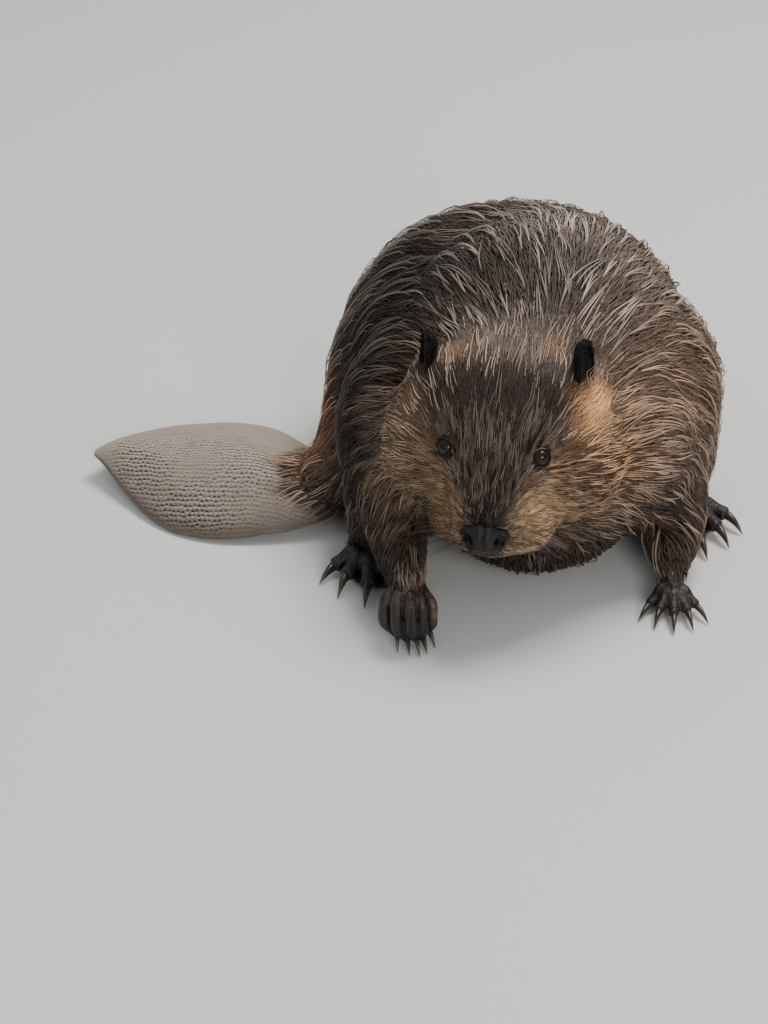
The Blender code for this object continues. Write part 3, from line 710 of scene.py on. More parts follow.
def cap(points):
    """1 on the dark cap: a wedge in the head's axes from the nose up between the ears.

    Its half-width is 4 + y / 2 millimetres with a ragged edge, and its upper end
    fades from y = 108 to 124.
    """
    x, y, z = to_head(points).T
    ragged = 2.5 * np.sin(x * 0.9 + y * 0.5) * np.sin(y * 0.8)
    across = smooth_step(4.0, -4.0, np.abs(x) - 4 - 0.50 * y - ragged)
    return across * smooth_step(-12, 0, z) * smooth_step(124, 108, y) * smooth_step(-8, 4, y)


def marked(points):
    """(deep, pale) colours: each marking in turn blended in by its bell curve."""
    deep = np.broadcast_to(BACK_DEEP, points.shape).copy()
    pale = np.broadcast_to(BACK_PALE, points.shape).copy()
    for marking in markings:
        if marking is None:
            share, deep_here, pale_here = cap(points)[:, None] * 0.95, CAP_DEEP, CAP_PALE
        else:
            place, axes, reach, deep_here, pale_here, strength = marking
            offset = (points - place) @ axes.T / MM / reach
            share = strength * np.exp(-(offset**2).sum(axis=1))[:, None]
        deep += (np.array(deep_here) - deep) * share
        pale += (np.array(pale_here) - pale) * share
    return deep, pale


# %% [markdown]
# ## One skin
#
# The solids end where the coat ends, and thin cuts part them. Copies of the
# flesh solids, swollen by a hair's breadth so that the cuts close, are fused
# into one surface and smoothed, with a short cuff at each wrist and ankle so
# that the legs stay full down to the feet. Each point then sinks along its
# normal by the depth that the chart gives the coat there. Voxel remeshing is a
# good tool for this: it does not mind how the pieces cross, and leaves an even
# skin.

# %% One skin
SKIN_VOXEL = 2.6 * MM
CUT_CLOSING = 0.7 * MM
FRONT = (0, -1, 0)
# per kind of foot: its leg, the radius of the wrist or ankle, how far it sinks into the foot
CUFFS = {"forepaw": ("foreleg_", 12.5 * MM, 12 * MM), "hindfoot": ("hindleg_", 19 * MM, 4 * MM)}
CUFF_ROWS, CUFF_COLUMNS, CUFF_FLARE = 10, 24, 1.35


def foot_top(foot):
    """Where a foot meets its leg: the middle of the foot's highest few millimetres."""
    points = arrays_of(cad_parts[foot].data)[0]
    return points[points[:, 2] > corners(foot)[1, 2] - 4 * MM].mean(axis=0)


def cuff(foot, leg, radius, sunk):
    """A wrist or an ankle: a tube from the leg down into the foot, so that it stays full."""
    wrist, upper = foot_top(foot), middle(leg)
    stations = [wrist + (upper - wrist) * share for share in (0.6, 0.2)]
    stations.append(wrist - [0, 2 * MM, sunk])
    path = along(stations, np.linspace(0, 1, CUFF_ROWS))
    radii = np.linspace(radius * CUFF_FLARE, radius, CUFF_ROWS)
    return outward(filled_mesh("cuff", *swept(path, radii, CUFF_COLUMNS, upright=FRONT)))


flesh = [mended(node, CUT_CLOSING) for node in FLESH]
for side in SIDES:
    for foot, (leg, radius, sunk) in CUFFS.items():
        flesh.append(cuff(f"{foot}_{side}", leg + side, radius, sunk))
outer = fused(flesh, SKIN_VOXEL, 14)
outer_points, outer_normals = arrays_of(outer)
cut = combed(outer_points)[1]
moved(outer, outer_points - outer_normals * cut[:, 1:2])
settle = linked("settle", outer).modifiers.new("settle", "SMOOTH")
settle.factor, settle.iterations = 0.5, 4
skin_mesh = evaluated(bpy.data.objects["settle"])
print("skin", len(skin_mesh.vertices), "points")

# %% [markdown]
# ## Eyes and lids
#
# Each eye is a ball with the slight bulge of the cornea, almost black. It looks
# straight out of the skin around it. The lids are one ring that starts hidden
# inside the ball, turns over a rim that rests on the ball, drops into a crease,
# rises in a fold and sinks away under the skin. The skin itself is drawn in
# behind the ball so that it never shows in front of it.

# %% Eyes and lids
EYE_ROWS, EYE_COLUMNS, LID_COLUMNS = 40, 56, 72
CORNEA = 0.05  # how far it bulges, as a share of the eye's radius
OPENING, ALMOND = np.radians([48.0, 60.0]), 1.8  # half angles, wide and high; power
EYE_HOLLOW = 1.25  # the skin is drawn in behind a ball of so many eye radii
LID_RIM, LID_FRONT = (0.010, 0.008, 0.006), (0.040, 0.028, 0.020)
LID_BEHIND = (0.190, 0.120, 0.074)
# angle beyond the opening in degrees, and height over the ball in millimetres
LID_PROFILE = [
    (-6, -0.60), (-2, 0.05), (1, 0.45), (4, 0.75), (8, 0.80), (12, 0.50), (16, 0.25),
    (21, 0.40), (27, 0.50), (34, 0.20), (44, -0.60), (58, -2.20), (56, -3.60), (16, -3.00),
]
IRIS, PUPIL = (0.014, 0.008, 0.005), (0.002, 0.002, 0.002)

eye_finish = material(
    "wet_eye",
    {"Roughness": 0.15, "Specular IOR Level": 0.32},
    lambda place: {"Base Color": painted(place)},
)


def looking(axis):
    """Rows x, y, z of axes whose z is the given direction and whose x runs to the nose."""
    forward = -head_axes[1]
    x = unit(forward - axis * (forward @ axis))
    return np.stack([x, np.cross(axis, x), axis])


def on_ball(angle, around, distance, axes, centre):
    """Points at an angle from the axes' z, turned around it, at a distance from the centre."""
    out = np.sin(angle)
    local = np.broadcast_arrays(out * np.cos(around), out * np.sin(around), np.cos(angle))
    local = np.stack(local, axis=-1)
    return centre + local * np.asarray(distance)[..., None] @ axes


def eyeball(centre, radius, axes):
    """(points, triangles, colours) of a ball of radius r (1 + bulge exp(-(angle / 0.55)^2))."""
    angle = np.linspace(0, np.pi, EYE_ROWS + 2)[1:-1, None]
    around = np.linspace(0, 2 * np.pi, EYE_COLUMNS, endpoint=False)[None]
    bulge = radius * (1 + CORNEA * np.exp(-((angle / 0.55) ** 2)))
    bulge = np.broadcast_to(bulge, (EYE_ROWS, EYE_COLUMNS))
    rings = on_ball(angle, around, bulge, axes, centre)
    poles = centre + np.array([radius * (1 + CORNEA), -radius])[:, None] * axes[2]
    points = np.vstack([rings.reshape(-1, 3), poles])
    faces = closed_rows(EYE_ROWS, EYE_COLUMNS)
    shade = smooth_step(0.36, 0.50, angle)[:, 0]
    colours = np.array(PUPIL) + np.subtract(IRIS, PUPIL) * shade[:, None]
    return points, faces, np.vstack([colours.repeat(EYE_COLUMNS, axis=0), PUPIL, IRIS])


def opening_at(around):
    """Half the opening of the lids in each direction round the eye: a rounded almond.

    It is (|cos a / wide|^n + |sin a / high|^n)^(-1/n), an ellipse where n is 2.
    """
    wide, high = np.abs([np.cos(around) / OPENING[0], np.sin(around) / OPENING[1]])
    return (wide**ALMOND + high**ALMOND) ** (-1 / ALMOND)


def lids(centre, radius, axes):
    """The ring of both lids, closed both ways: LID_PROFILE carried round the opening."""
    around = np.linspace(0, 2 * np.pi, LID_COLUMNS, endpoint=False)
    profile = np.array(LID_PROFILE)
    angle = opening_at(around)[None] + np.radians(profile[:, 0])[:, None]
    upper = 1 + 0.35 * np.abs(np.sin(around))
    height = np.where(profile[:, 1:2] > 0, profile[:, 1:2] * upper[None], profile[:, 1:2])
    points = on_ball(angle, around[None], radius + height * MM, axes, centre)
    points = np.concatenate([points, points[:1]])
    count = len(profile)
    faces = halved(grid_faces(count + 1, LID_COLUMNS)) % (count * LID_COLUMNS)
    return points[:count].reshape(-1, 3), faces


skin_points, skin_normals = arrays_of(skin_mesh)
eyes = {}
for side in SIDES:
    low, high = corners("eye_" + side)
    centre, radius = (low + high) / 2, float((high - low).mean()) / 2
    close = np.linalg.norm(skin_points - centre, axis=1) < 2.6 * radius
    outwards = unit(skin_normals[close].mean(axis=0))
    eyes[side] = (centre, radius, looking(outwards))
    away = skin_points - centre
    distance = np.linalg.norm(away, axis=1)
    in_front = away @ outwards / np.maximum(distance, 1e-9) > -0.2
    drawn_in = in_front & (distance < radius * EYE_HOLLOW)
    depth = (radius * EYE_HOLLOW - distance[drawn_in]) * 1.3 + 0.5 * MM
    skin_points[drawn_in] -= outwards * depth[:, None]
    points, faces, colours = eyeball(*eyes[side])
    mesh = outward(filled_mesh("eye", points, faces))
    paint(mesh, colours)
    piece("eyeball_" + side, mesh, eye_finish, ["eye_" + side])
    print(side, "eye looks", np.round(head_axes @ outwards, 2), "in the head's axes")
moved(skin_mesh, skin_points)
bm = bmesh.new()
bm.from_mesh(skin_mesh)
for side in SIDES:
    bm.from_mesh(outward(filled_mesh("lids", *lids(*eyes[side]))))
bm.to_mesh(skin_mesh)
bm.free()
skin_mesh.shade_smooth()

# %% [markdown]
# ## The nose
#
# A bare leathery pad, low and broad. It starts from the solid's shape, tucked in
# at the top and rounded off at its upper corners. Two nostrils open to the sides
# like commas, each with a raised rim, and a groove runs down the middle. The
# pebbled surface is a bump of small cells.

# %% The nose
NOSTRIL_AT, NOSTRIL_SIZE = (0.70, -0.30, 0.22), (0.27, 0.80, 0.40)  # shares of the pad
NOSTRIL_DEPTH, RIM_HEIGHT, GROOVE_DEPTH = 6.0, 0.9, 0.7  # millimetres
PAD_DARK, PAD_SHEEN = np.array([0.007, 0.006, 0.0055]), [0.006, 0.0045, 0.0035]

nose_mesh = fused([mended("nose", 0.3 * MM)], 0.8 * MM, 5)
points, normals = arrays_of(nose_mesh)
local = to_head(points)
low, high = local.min(axis=0), local.max(axis=0)
nose_centre, nose_half = (low + high) / 2, (high - low) / 2
share = (local - nose_centre) / nose_half
side_share = np.abs(share[:, 0])
offset = (np.column_stack([side_share, share[:, 1:]]) - NOSTRIL_AT) / NOSTRIL_SIZE
offset[:, 2] += 0.5 * offset[:, 0]
from_nostril = (offset**2).sum(axis=1)
rim = np.exp(-((np.sqrt(from_nostril) - 1.9) ** 2) / 0.3)
dent = NOSTRIL_DEPTH * np.exp(-(from_nostril**1.3)) - RIM_HEIGHT * rim
groove = GROOVE_DEPTH * np.exp(-((share[:, 0] / 0.06) ** 2)) * (share[:, 1] < 0.2)
points -= normals * ((dent + groove) * MM)[:, None]
tucked = 5 * smooth_step(0.2, 1, share[:, 2]) * smooth_step(-0.9, 0.5, share[:, 1])
rounded = 8.0 * smooth_step(0.15, 1.0, side_share) * smooth_step(-0.2, 0.9, share[:, 2])
points += (head_axes[1] * tucked[:, None] - head_axes[2] * rounded[:, None]) * MM
moved(nose_mesh, points)
# painted sheen: the pad paler towards its top
pad = PAD_DARK + np.outer(smooth_step(0.0, 0.9, share[:, 2]), PAD_SHEEN)
# painted shade: the nostrils near black
paint(nose_mesh, pad * (1 - 0.92 * np.exp(-(from_nostril**1.5)))[:, None])
nose_finish = material(
    "nose_leather",
    {"Roughness": 0.36, "Specular IOR Level": 0.22},
    lambda place: {
        "Base Color": painted(place),
        "Relief": place.cells(900) * 0.30 + place.noise(260, 2) * 0.3,
    },
)
piece("nose_pad", nose_mesh, nose_finish, ["nose"])
print("nose", np.round(high - low, 1), "mm in the head's axes")

# %% [markdown]
# ## The ears
#
# Small, round and thick, almost black, with a velvet of very short hair that the
# coat adds below. Each turns in towards the crown, more so towards its top, and
# the right one is laid back a little.

# %% The ears
EAR_RISE, EAR_TURNS_IN, EAR_NARROWED = np.array([0, 0.92, 0.39]), 0.3, 0.72
EAR_LAID_BACK = 0.28
EAR_DEEP, EAR_PALE = np.array([0.005, 0.004, 0.004]), np.array([0.022, 0.018, 0.015])
EAR_HIDE_DARK, EAR_HIDE_PALE = (0.005, 0.004, 0.004, 1), (0.014, 0.011, 0.010, 1)
ear_finish = material(
    "ear_hide",
    {"Roughness": 0.75, "Specular IOR Level": 0.15},
    lambda place: {
        "Base Color": place.noise(220, 2).between(0.3, 0.7).mixed(EAR_HIDE_DARK, EAR_HIDE_PALE),
        "Relief": place.noise(700, 2) * 0.4,
    },
)
ear_meshes = {}
for side in SIDES:
    ear_meshes[side] = fused([mended("ear_" + side, 0.3 * MM)], 0.8 * MM, 4)
    points = to_head(arrays_of(ear_meshes[side])[0])
    raised = (points - points.mean(axis=0)) @ EAR_RISE + 5
    outermost = SIDES[side] * np.abs(points[:, 0]).max()
    points[:, 0] = outermost + (points[:, 0] - outermost) * EAR_NARROWED
    points[:, 0] -= SIDES[side] * EAR_TURNS_IN * np.maximum(raised, 0)
    if side == "right":
        points -= EAR_RISE * (EAR_LAID_BACK * np.maximum(raised, 0))[:, None]
    moved(ear_meshes[side], from_head(points))
    piece("ear_hide_" + side, ear_meshes[side], ear_finish, ["ear_" + side])
    print(side, "ear spans", np.round(np.ptp(points, axis=0), 1), "mm in the head's axes")


# %% [markdown]
# ## Feet and claws
#
# A beaver's forepaw is a small hand of five fingers; its hind foot is large and webbed. The bare
# skin is dark; the folds between the toes and the undersides are painted darker as shade, and the
# faces turned up are painted paler as light. Each toe is a tube from the ankle over the knuckle to
# the root of its claw, the webs are thin sheets between neighbouring toes, and one remesh fuses
# them to the sole.
# The places of the claws tell where each toe ends. The right forepaw is held as
# a loose fist: its fingers bow out to one side before they come down, and the
# outermost one shows pinker skin.

# %% Feet and claws
TOE_RADIUS = {"forepaw": 4.6 * MM, "hindfoot": 6.6 * MM}
KNUCKLE_HEIGHT = {"forepaw": 13 * MM, "hindfoot": 15 * MM}
WEB_HALF_THICKNESS = 1.5 * MM
TOE_ROWS, TOE_COLUMNS, FIST_ROWS = 26, 18, 30
SOLE_ROWS, SOLE_COLUMNS, PALM_COLUMNS = 12, 20, 24
CLAW_ROWS, CLAW_SIDES = 14, 14
KNUCKLE_WAVES = 6 * np.pi  # three swellings along a toe
# the foot's colour where it is painted in full shade, and where it is painted in full light
FOOT_IN_SHADE = np.array([0.006, 0.005, 0.0045])
FOOT_IN_LIGHT = np.array([0.042, 0.033, 0.029])
FOOT_PINK = np.array([0.170, 0.098, 0.080])
FOOT_CREASE = (0.014, 0.011, 0.009, 1)
HORN_DARK, HORN_PALE = (0.020, 0.014, 0.011, 1), (0.062, 0.044, 0.032, 1)
# a finger of the fist: x from the middle of the paw, height, lead to the front, radius
FIST_STATIONS = [
    ((-6.5, 47, -5, 4.2), (-17.4, 39, 8, 4.8), (-18.2, 23, 11, 4.7)),
    ((-3.5, 50, -2, 4.0), (-9.8, 42, 15, 4.8), (-9.4, 23, 19, 4.6)),
    ((0.0, 50, -1, 3.8), (-0.8, 42, 18, 4.5), (0.4, 22, 21, 4.3)),
    ((3.5, 47, -3, 3.6), (7.6, 40, 15, 4.3), (8.6, 21, 17, 4.1)),
    ((6.5, 43, -6, 3.5), (14.8, 35, 7, 4.1), (15.4, 20, 9, 3.9)),
]

foot_finish = material(
    "bare_foot_skin",
    {"Roughness": 0.42, "Specular IOR Level": 0.3},
    lambda place: {
        "Base Color": place.noise(110, 4).between(0.3, 0.6).mixed(FOOT_CREASE, painted(place)),
        "Relief": place.cells(520) * 0.4 + place.noise(150, 4) * 1.4,
    },
)
claw_finish = material(
    "dark_horn",
    {"Roughness": 0.24},
    lambda place: {
        "Base Color": place.noise(160, 2).between(0.3, 0.7).mixed(HORN_DARK, HORN_PALE),
        "Relief": place.noise(420, 2) * 0.12,
    },
)


def claw_ends(node):
    """(root, tip) of a claw: the middle of its thick end, and its far point."""
    points = arrays_of(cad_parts[node].data)[0]
    foot = middle(node[5:-2])
    reach = np.linalg.norm((points - foot)[:, :2], axis=1)
    return points[reach < reach.min() + 1.5 * MM].mean(axis=0), points[reach.argmax()]


def claw(root, tip, radius):
    """A horn that curves down: its height falls as the square of the way along."""
    share = np.linspace(0, 1, CLAW_ROWS)[:, None]
    path = root + (tip - root) * share
    drop = root[2] - tip[2] - 0.4 * MM
    path[:, 2] = root[2] + 0.6 * MM * share[:, 0] - drop * share[:, 0] ** 2.1
    radii = radius * (1 - share[:, 0] ** 1.6) + 0.15 * MM
    return swept(path, radii, CLAW_SIDES, flatness=1.15)


def claws_of(foot):
    """The nodes of a foot's five claws."""
    return [f"claw_{foot}_{number}" for number in range(1, 6)]


def toe_ends(foot):
    """Where each toe ends: the roots of the claws."""
    return [claw_ends(node)[0] for node in claws_of(foot)]


def fist_parts(foot):
    """Five bowed fingers, and a palm behind them."""
    low, high = corners(foot)
    centre, front = (low + high)[0] / 2, (low + high)[1] / 2
    parts = []
    for stations, end in zip(FIST_STATIONS, toe_ends(foot)):
        rows = [
            (centre + x * MM, front - lead * MM, height * MM, radius * MM)
            for x, height, lead, radius in stations
        ]
        rows = along([*rows, (*end, 3.3 * MM)], np.linspace(0, 1, FIST_ROWS))
        knuckles = 1 + 0.07 * np.cos(np.linspace(0, KNUCKLE_WAVES, FIST_ROWS))
        parts.append(swept(rows[:, :3], rows[:, 3] * knuckles, TOE_COLUMNS, upright=FRONT))
    share = np.linspace(0, 1, SOLE_ROWS)
    heel = [foot_top(foot), (centre, front, 34 * MM), (centre, front - 4 * MM, 14 * MM)]
    radii = np.interp(share, [0, 0.5, 1], [8 * MM, 13 * MM, 11 * MM])
    parts.append(swept(along(heel, share), radii, PALM_COLUMNS, upright=FRONT))
    return parts


def foot_parts(foot):
    """Tubes for the sole and the toes, and a thin sheet for each web."""
    kind = foot.split("_")[0]
    radius, knuckle_height = TOE_RADIUS[kind], KNUCKLE_HEIGHT[kind]
    start, ends = foot_top(foot), toe_ends(foot)
    centre = np.mean(ends, axis=0)
    parts, paths = [], []
    for end in ends:
        inward = (centre - end) * 0.45
        root = start + (end - start) * 0.30 + inward * 0.6
        root[2] = max(knuckle_height * 0.9, start[2] * 0.55)
        knuckle = start + (end - start) * 0.62 + inward * 0.25
        knuckle[2] = knuckle_height
        girths = zip((start, root, knuckle, end), (1.5, 1.25, 1.05, 0.78))
        stations = [(*place, radius * girth) for place, girth in girths]
        rows = along(stations, np.linspace(0, 1, TOE_ROWS))
        swell = 1 + 0.10 * np.cos(np.linspace(0, KNUCKLE_WAVES, TOE_ROWS))
        rows[:, 2] = np.maximum(rows[:, 2], rows[:, 3] * 0.75)
        parts.append(swept(rows[:, :3], rows[:, 3] * swell, TOE_COLUMNS))
        paths.append(rows[:, :3])
    sole_end = start + (centre - start) * 0.55
    sole_end[2] = radius * 1.1
    instep = (start + sole_end) / 2 - [0, 0, start[2] * 0.15]
    sole = along([start, instep, sole_end], np.linspace(0, 1, SOLE_ROWS))
    radii = np.linspace(radius * 2.0, radius * 1.9, SOLE_ROWS)
    parts.append(swept(sole, radii, SOLE_COLUMNS, flatness=0.75))
    if kind == "hindfoot":
        for first, second in zip(paths, paths[1:]):
            parts.append(web(first[8:24], second[8:24]))
    return parts


def web(first, second):
    """A closed sheet between two toes, sagging as a sine from one to the other."""
    across = np.linspace(0, 1, 9)[None, :, None]
    sheet = first[:, None] * (1 - across) + second[:, None] * across
    sheet[..., 2] *= 1 - 0.45 * np.sin(np.pi * across[..., 0])
    sheet[..., 2] = np.maximum(sheet[..., 2] * 0.75, WEB_HALF_THICKNESS + 0.2 * MM)
    rows, columns = sheet.shape[:2]
    lift = np.array([0, 0, WEB_HALF_THICKNESS])
    ring = np.concatenate([sheet + lift, (sheet - lift)[:, ::-1]], axis=1)
    poles = [ring[0].mean(axis=0), ring[-1].mean(axis=0)]
    return np.vstack([ring.reshape(-1, 3), *poles]), closed_rows(rows, columns * 2)


def paint_foot_with_shade(mesh, foot):
    """Paints a foot with painted shade and light: dark in the folds between its toes and
    underneath, paler on top.

    A fold is where a point is nearly as close to a second toe as to the first.
    """
    points, normals = arrays_of(mesh)
    ends = np.array(toe_ends(foot))
    ends[:, 2] = 0.4 * corners(foot)[1, 2]
    bearing = points[:, None, :2] - ends[None, :, :2]
    across = np.sort(np.linalg.norm(bearing * [1, 0.25], axis=2), axis=1)
    # painted shade in the folds between the toes
    fold = smooth_step(3.0 * MM, 0.4 * MM, across[:, 1] - across[:, 0])
    fold = fold * smooth_step(57 * MM, 48 * MM, points[:, 2])
    # painted light: faces turned up, and higher up, paler; painted shade underneath
    light = smooth_step(-0.4, 0.8, normals[:, 2]) * smooth_step(0, 22 * MM, points[:, 2])
    tone = (0.25 + 0.75 * light) * (1 - 0.9 * fold)
    colour = FOOT_IN_SHADE + (FOOT_IN_LIGHT - FOOT_IN_SHADE) * tone[:, None]
    if foot == "forepaw_right":
        outer = smooth_step(10 * MM, 17 * MM, points[:, 0] - middle(foot)[0]) * (1 - fold)
        outer = outer * smooth_step(18 * MM, 30 * MM, points[:, 2])
        colour += (FOOT_PINK - colour) * 0.7 * outer[:, None]
    paint(mesh, colour)


bare_feet = []
for foot in FEET:
    fist = foot == "forepaw_right"
    parts = fist_parts(foot) if fist else foot_parts(foot)
    closed = [outward(filled_mesh("part", *part)) for part in parts]
    mesh = fused(closed, (0.8 if fist else 1.1) * MM, 3)
    points = arrays_of(mesh)[0]
    points[:, 2] = np.maximum(points[:, 2], 0.0)
    moved(mesh, points)
    paint_foot_with_shade(mesh, foot)
    piece("bare_" + foot, mesh, foot_finish, [foot])
    bare_feet.append(mesh)
    radius = TOE_RADIUS[foot.split("_")[0]] * 0.5
    horns = joined([claw(*claw_ends(node), radius) for node in claws_of(foot)])
    mesh = filled_mesh("claws", *horns)
    piece("claws_" + foot, mesh, claw_finish, claws_of(foot))

# %% [markdown]
# ## The tail
#
# The blade is a flat paddle of bare skin. Its outline and thickness are measured on the solid,
# slice by slice, and eased along its length; then a fine grid goes once round each slice. The skin
# is creased into staggered rows of small scales, each a cell with a pit in its middle and a raised
# lip beside it; the pits are painted near black as painted shade, and the lips paler as a painted
# highlight. Every cell is jittered by a number worked out from its row and column, so that no two
# pits match, and the pits fade out towards the rims and the tip. The creases are real relief as
# well as painted shade. The near rim is painted darker as shade, and the blade paler towards its
# far rim as painted light.

# %% The tail
SLICES, ABOVE, BELOW = 330, 200, 50
ROUND = ABOVE + BELOW
OUTLINE_SLICES, OUTLINE_PLACES = 34, 15
SCALE_LENGTH, SCALE_WIDTH, SCALE_DEPTH = 3.8 * MM, 3.9 * MM, 0.8 * MM
THINNEST = 1.2 * MM  # half the blade's thickness at least, before the tip closes
SWELL_HEIGHT = 1.6 * MM
TAIL_PALE = np.array([0.255, 0.200, 0.160])
TAIL_PIT_SHADE = np.array([0.006, 0.005, 0.004])
TAIL_LIP_HIGHLIGHT = np.array([0.700, 0.580, 0.470])
TAIL_MUD = (0.125, 0.100, 0.083, 1)
CHANCE_SEEDS = ((12.9898, 78.233), (39.35, 11.135), (73.16, 52.235))


def slice_across(points, edges, x):
    """Where the solid's edges cross the plane at x: (y, z) of the crossings."""
    first, second = points[edges[:, 0]], points[edges[:, 1]]
    crossing = (first[:, 0] - x) * (second[:, 0] - x) < 0
    first, second = first[crossing], second[crossing]
    share = ((x - first[:, 0]) / (second[:, 0] - first[:, 0]))[:, None]
    return (first + (second - first) * share)[:, 1:]


def tail_outline():
    """Per slice from root to tip: x, near and far edge, then upper and lower heights.

    The heights are read at even shares of the slice's width, which come second.
    """
    points = arrays_of(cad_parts["tail_blade"].data)[0]
    faces = triangles_of(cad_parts["tail_blade"].data)
    edges = np.vstack([faces[:, [0, 1]], faces[:, [1, 2]], faces[:, [2, 0]]])
    low, high = points[:, 0].min(), points[:, 0].max()
    share = np.linspace(-0.96, 0.96, OUTLINE_PLACES)
    rows = []
    for x in np.linspace(high - 1.0 * MM, low + 0.8 * MM, OUTLINE_SLICES):
        cut_points = slice_across(points, edges, x)
        near, far = cut_points[:, 0].min(), cut_points[:, 0].max()
        place = (cut_points[:, 0] - (near + far) / 2) / ((far - near) / 2)
        trend = np.polyval(np.polyfit(place, cut_points[:, 1], 2), place)
        heights = []
        for side in (cut_points[:, 1] >= trend, cut_points[:, 1] < trend):
            order = np.argsort(place[side])
            heights.append(np.interp(share, place[side][order], cut_points[side, 1][order]))
        rows.append(np.concatenate([[x, near, far], *heights]))
    return np.array(rows), share


def eased(rows, passes=3):
    """Rows averaged with their neighbours, the first and last kept."""
    for _ in range(passes):
        rows[1:-1] = (rows[:-2] + 2 * rows[1:-1] + rows[2:]) / 4
    return rows


def chances(row, column):
    """Three numbers from 0 to 1 for each cell: the last digits of a large sine."""
    return [np.abs(np.sin(column * a + row * b) * 43758.5) % 1 for a, b in CHANCE_SEEDS]


tail_rows, tail_share = tail_outline()
tail_rows = eased(tail_rows)
# u runs from root to tip, v from the near rim to the far one, over the top and back under
u = 1 - np.linspace(1, 0, SLICES) ** 1.25
rows = along(tail_rows, u)
closing = np.sqrt(1 - np.clip((u - 0.86) / 0.145, 0, 1) ** 2)[:, None]
for first, last in ((1, 3), (3, rows.shape[1])):
    centre = rows[:, first:last].mean(axis=1, keepdims=True)
    rows[:, first:last] = centre + (rows[:, first:last] - centre) * closing
over_top = np.linspace(1, -1, ABOVE, endpoint=False)
around = np.concatenate([over_top, np.linspace(-1, 1, BELOW, endpoint=False)])
v = 0.8 * around + 0.2 * np.sin(np.pi / 2 * around)
on_top = np.where(np.arange(ROUND) < ABOVE, 1, -1)
columns = len(tail_share)
upper = np.array([np.interp(v, tail_share, row) for row in rows[:, 3 : 3 + columns]])
lower = np.array([np.interp(v, tail_share, row) for row in rows[:, 3 + columns :]])
middle_height = (upper + lower) / 2
half_height = np.maximum((upper - lower) / 2, THINNEST * closing)
round_rim = (1 - np.abs(v) ** 5) ** 0.5
tail_x = np.broadcast_to(rows[:, :1], (SLICES, ROUND))
tail_y = (rows[:, 1:2] + rows[:, 2:3]) / 2 + (rows[:, 2:3] - rows[:, 1:2]) / 2 * v
tail_z = middle_height + on_top * half_height * round_rim

# a low swell of the whole blade, then staggered cells along it and over its curve
swell = SWELL_HEIGHT * np.sin(tail_x / (21 * MM) + 1.2 * v) * np.sin(2.6 * v + tail_x / (38 * MM))
swell = swell * smooth_step(1.0, 0.55, np.abs(v)) * (on_top > 0)
tail_z = tail_z + swell * smooth_step(0.0, 0.2, u)[:, None]
steps = [np.diff(values, axis=1, prepend=values[:, :1]) for values in (tail_y, tail_z)]
over = np.cumsum(np.hypot(*steps), axis=1)
over -= over[:, ABOVE // 2][:, None]
wander_x = 0.22 * np.sin(over / (7 * MM) + tail_x / (23 * MM)) + 0.18 * np.sin(over / (3.1 * MM))
wander_y = 0.35 * np.sin(tail_x / (31 * MM) + over / (17 * MM))
wander_y = wander_y + 0.10 * np.sin(tail_x / (3.3 * MM) + 2.0)
cell_x, cell_y = tail_x / SCALE_LENGTH + wander_x, over / SCALE_WIDTH + wander_y
cell_row = np.floor(cell_y)
cell_column = np.floor(cell_x + 0.5 * (cell_row % 2))
strong, wide, high = chances(cell_row, cell_column)
in_x = (cell_x + 0.5 * (cell_row % 2)) % 1 - 0.5 + 0.16 * (wide - 0.5)
in_y = cell_y - cell_row - 0.5 + 0.16 * (1 - (2 * in_x) ** 2) + 0.34 * (high - 0.5)
width_share = smooth_step(0.46, 0.22, np.abs(in_x) * (0.9 + 0.35 * wide))
uneven = 0.40 + 0.60 * strong
pit = np.exp(-((in_y / 0.20) ** 2)) * width_share * uneven
lip = np.exp(-(((in_y - 0.30) / 0.17) ** 2)) * width_share
patchy = 0.72 + 0.42 * np.sin(tail_x / (17 * MM) + 2.0) * np.sin(over / (15 * MM) + 1.0)
far_edge = 1 - 0.85 * smooth_step(0.10, 0.70, v) * (on_top > 0)
ends = smooth_step(0.99, 0.80, u) * (0.45 + 0.55 * smooth_step(0.12, 0.38, u))
inside = smooth_step(1.0, 0.84, np.abs(v)) * ends[:, None] * patchy * far_edge
relief = (pit - 0.35 * lip) * inside
tail_grid = np.stack([tail_x, tail_y, tail_z], axis=-1)
slope_u, slope_v = np.gradient(tail_grid, axis=0), np.gradient(tail_grid, axis=1)
tail_out = unit(np.cross(slope_v, slope_u))
if tail_out[SLICES // 2, ABOVE // 2, 2] < 0:
    tail_out = -tail_out
tail_grid = tail_grid - tail_out * (relief * SCALE_DEPTH)[..., None]
tail_grid[..., 2] = np.maximum(tail_grid[..., 2], 0)
tail_poles = np.array([tail_grid[0].mean(axis=0), tail_grid[-1].mean(axis=0)])
tail_points = np.vstack([tail_grid.reshape(-1, 3), tail_poles])
tail_mesh = outward(filled_mesh("tail", tail_points, closed_rows(SLICES, ROUND)))
near_rim_shade = smooth_step(-0.72, -1.0, v)[None, :, None]
# painted highlight on the raised lips of the scales
tail_colour = TAIL_PALE + (TAIL_LIP_HIGHLIGHT - TAIL_PALE) * (lip * inside)[..., None]
# painted shade: the pits near black
tail_colour += (TAIL_PIT_SHADE - tail_colour) * np.clip(pit * inside * 2.1, 0, 1)[..., None]
# painted shade: darker along the near rim; also darker towards the root
tail_colour *= (1 - 0.5 * smooth_step(0.10, 0.0, u))[:, None, None] * (1 - 0.65 * near_rim_shade)
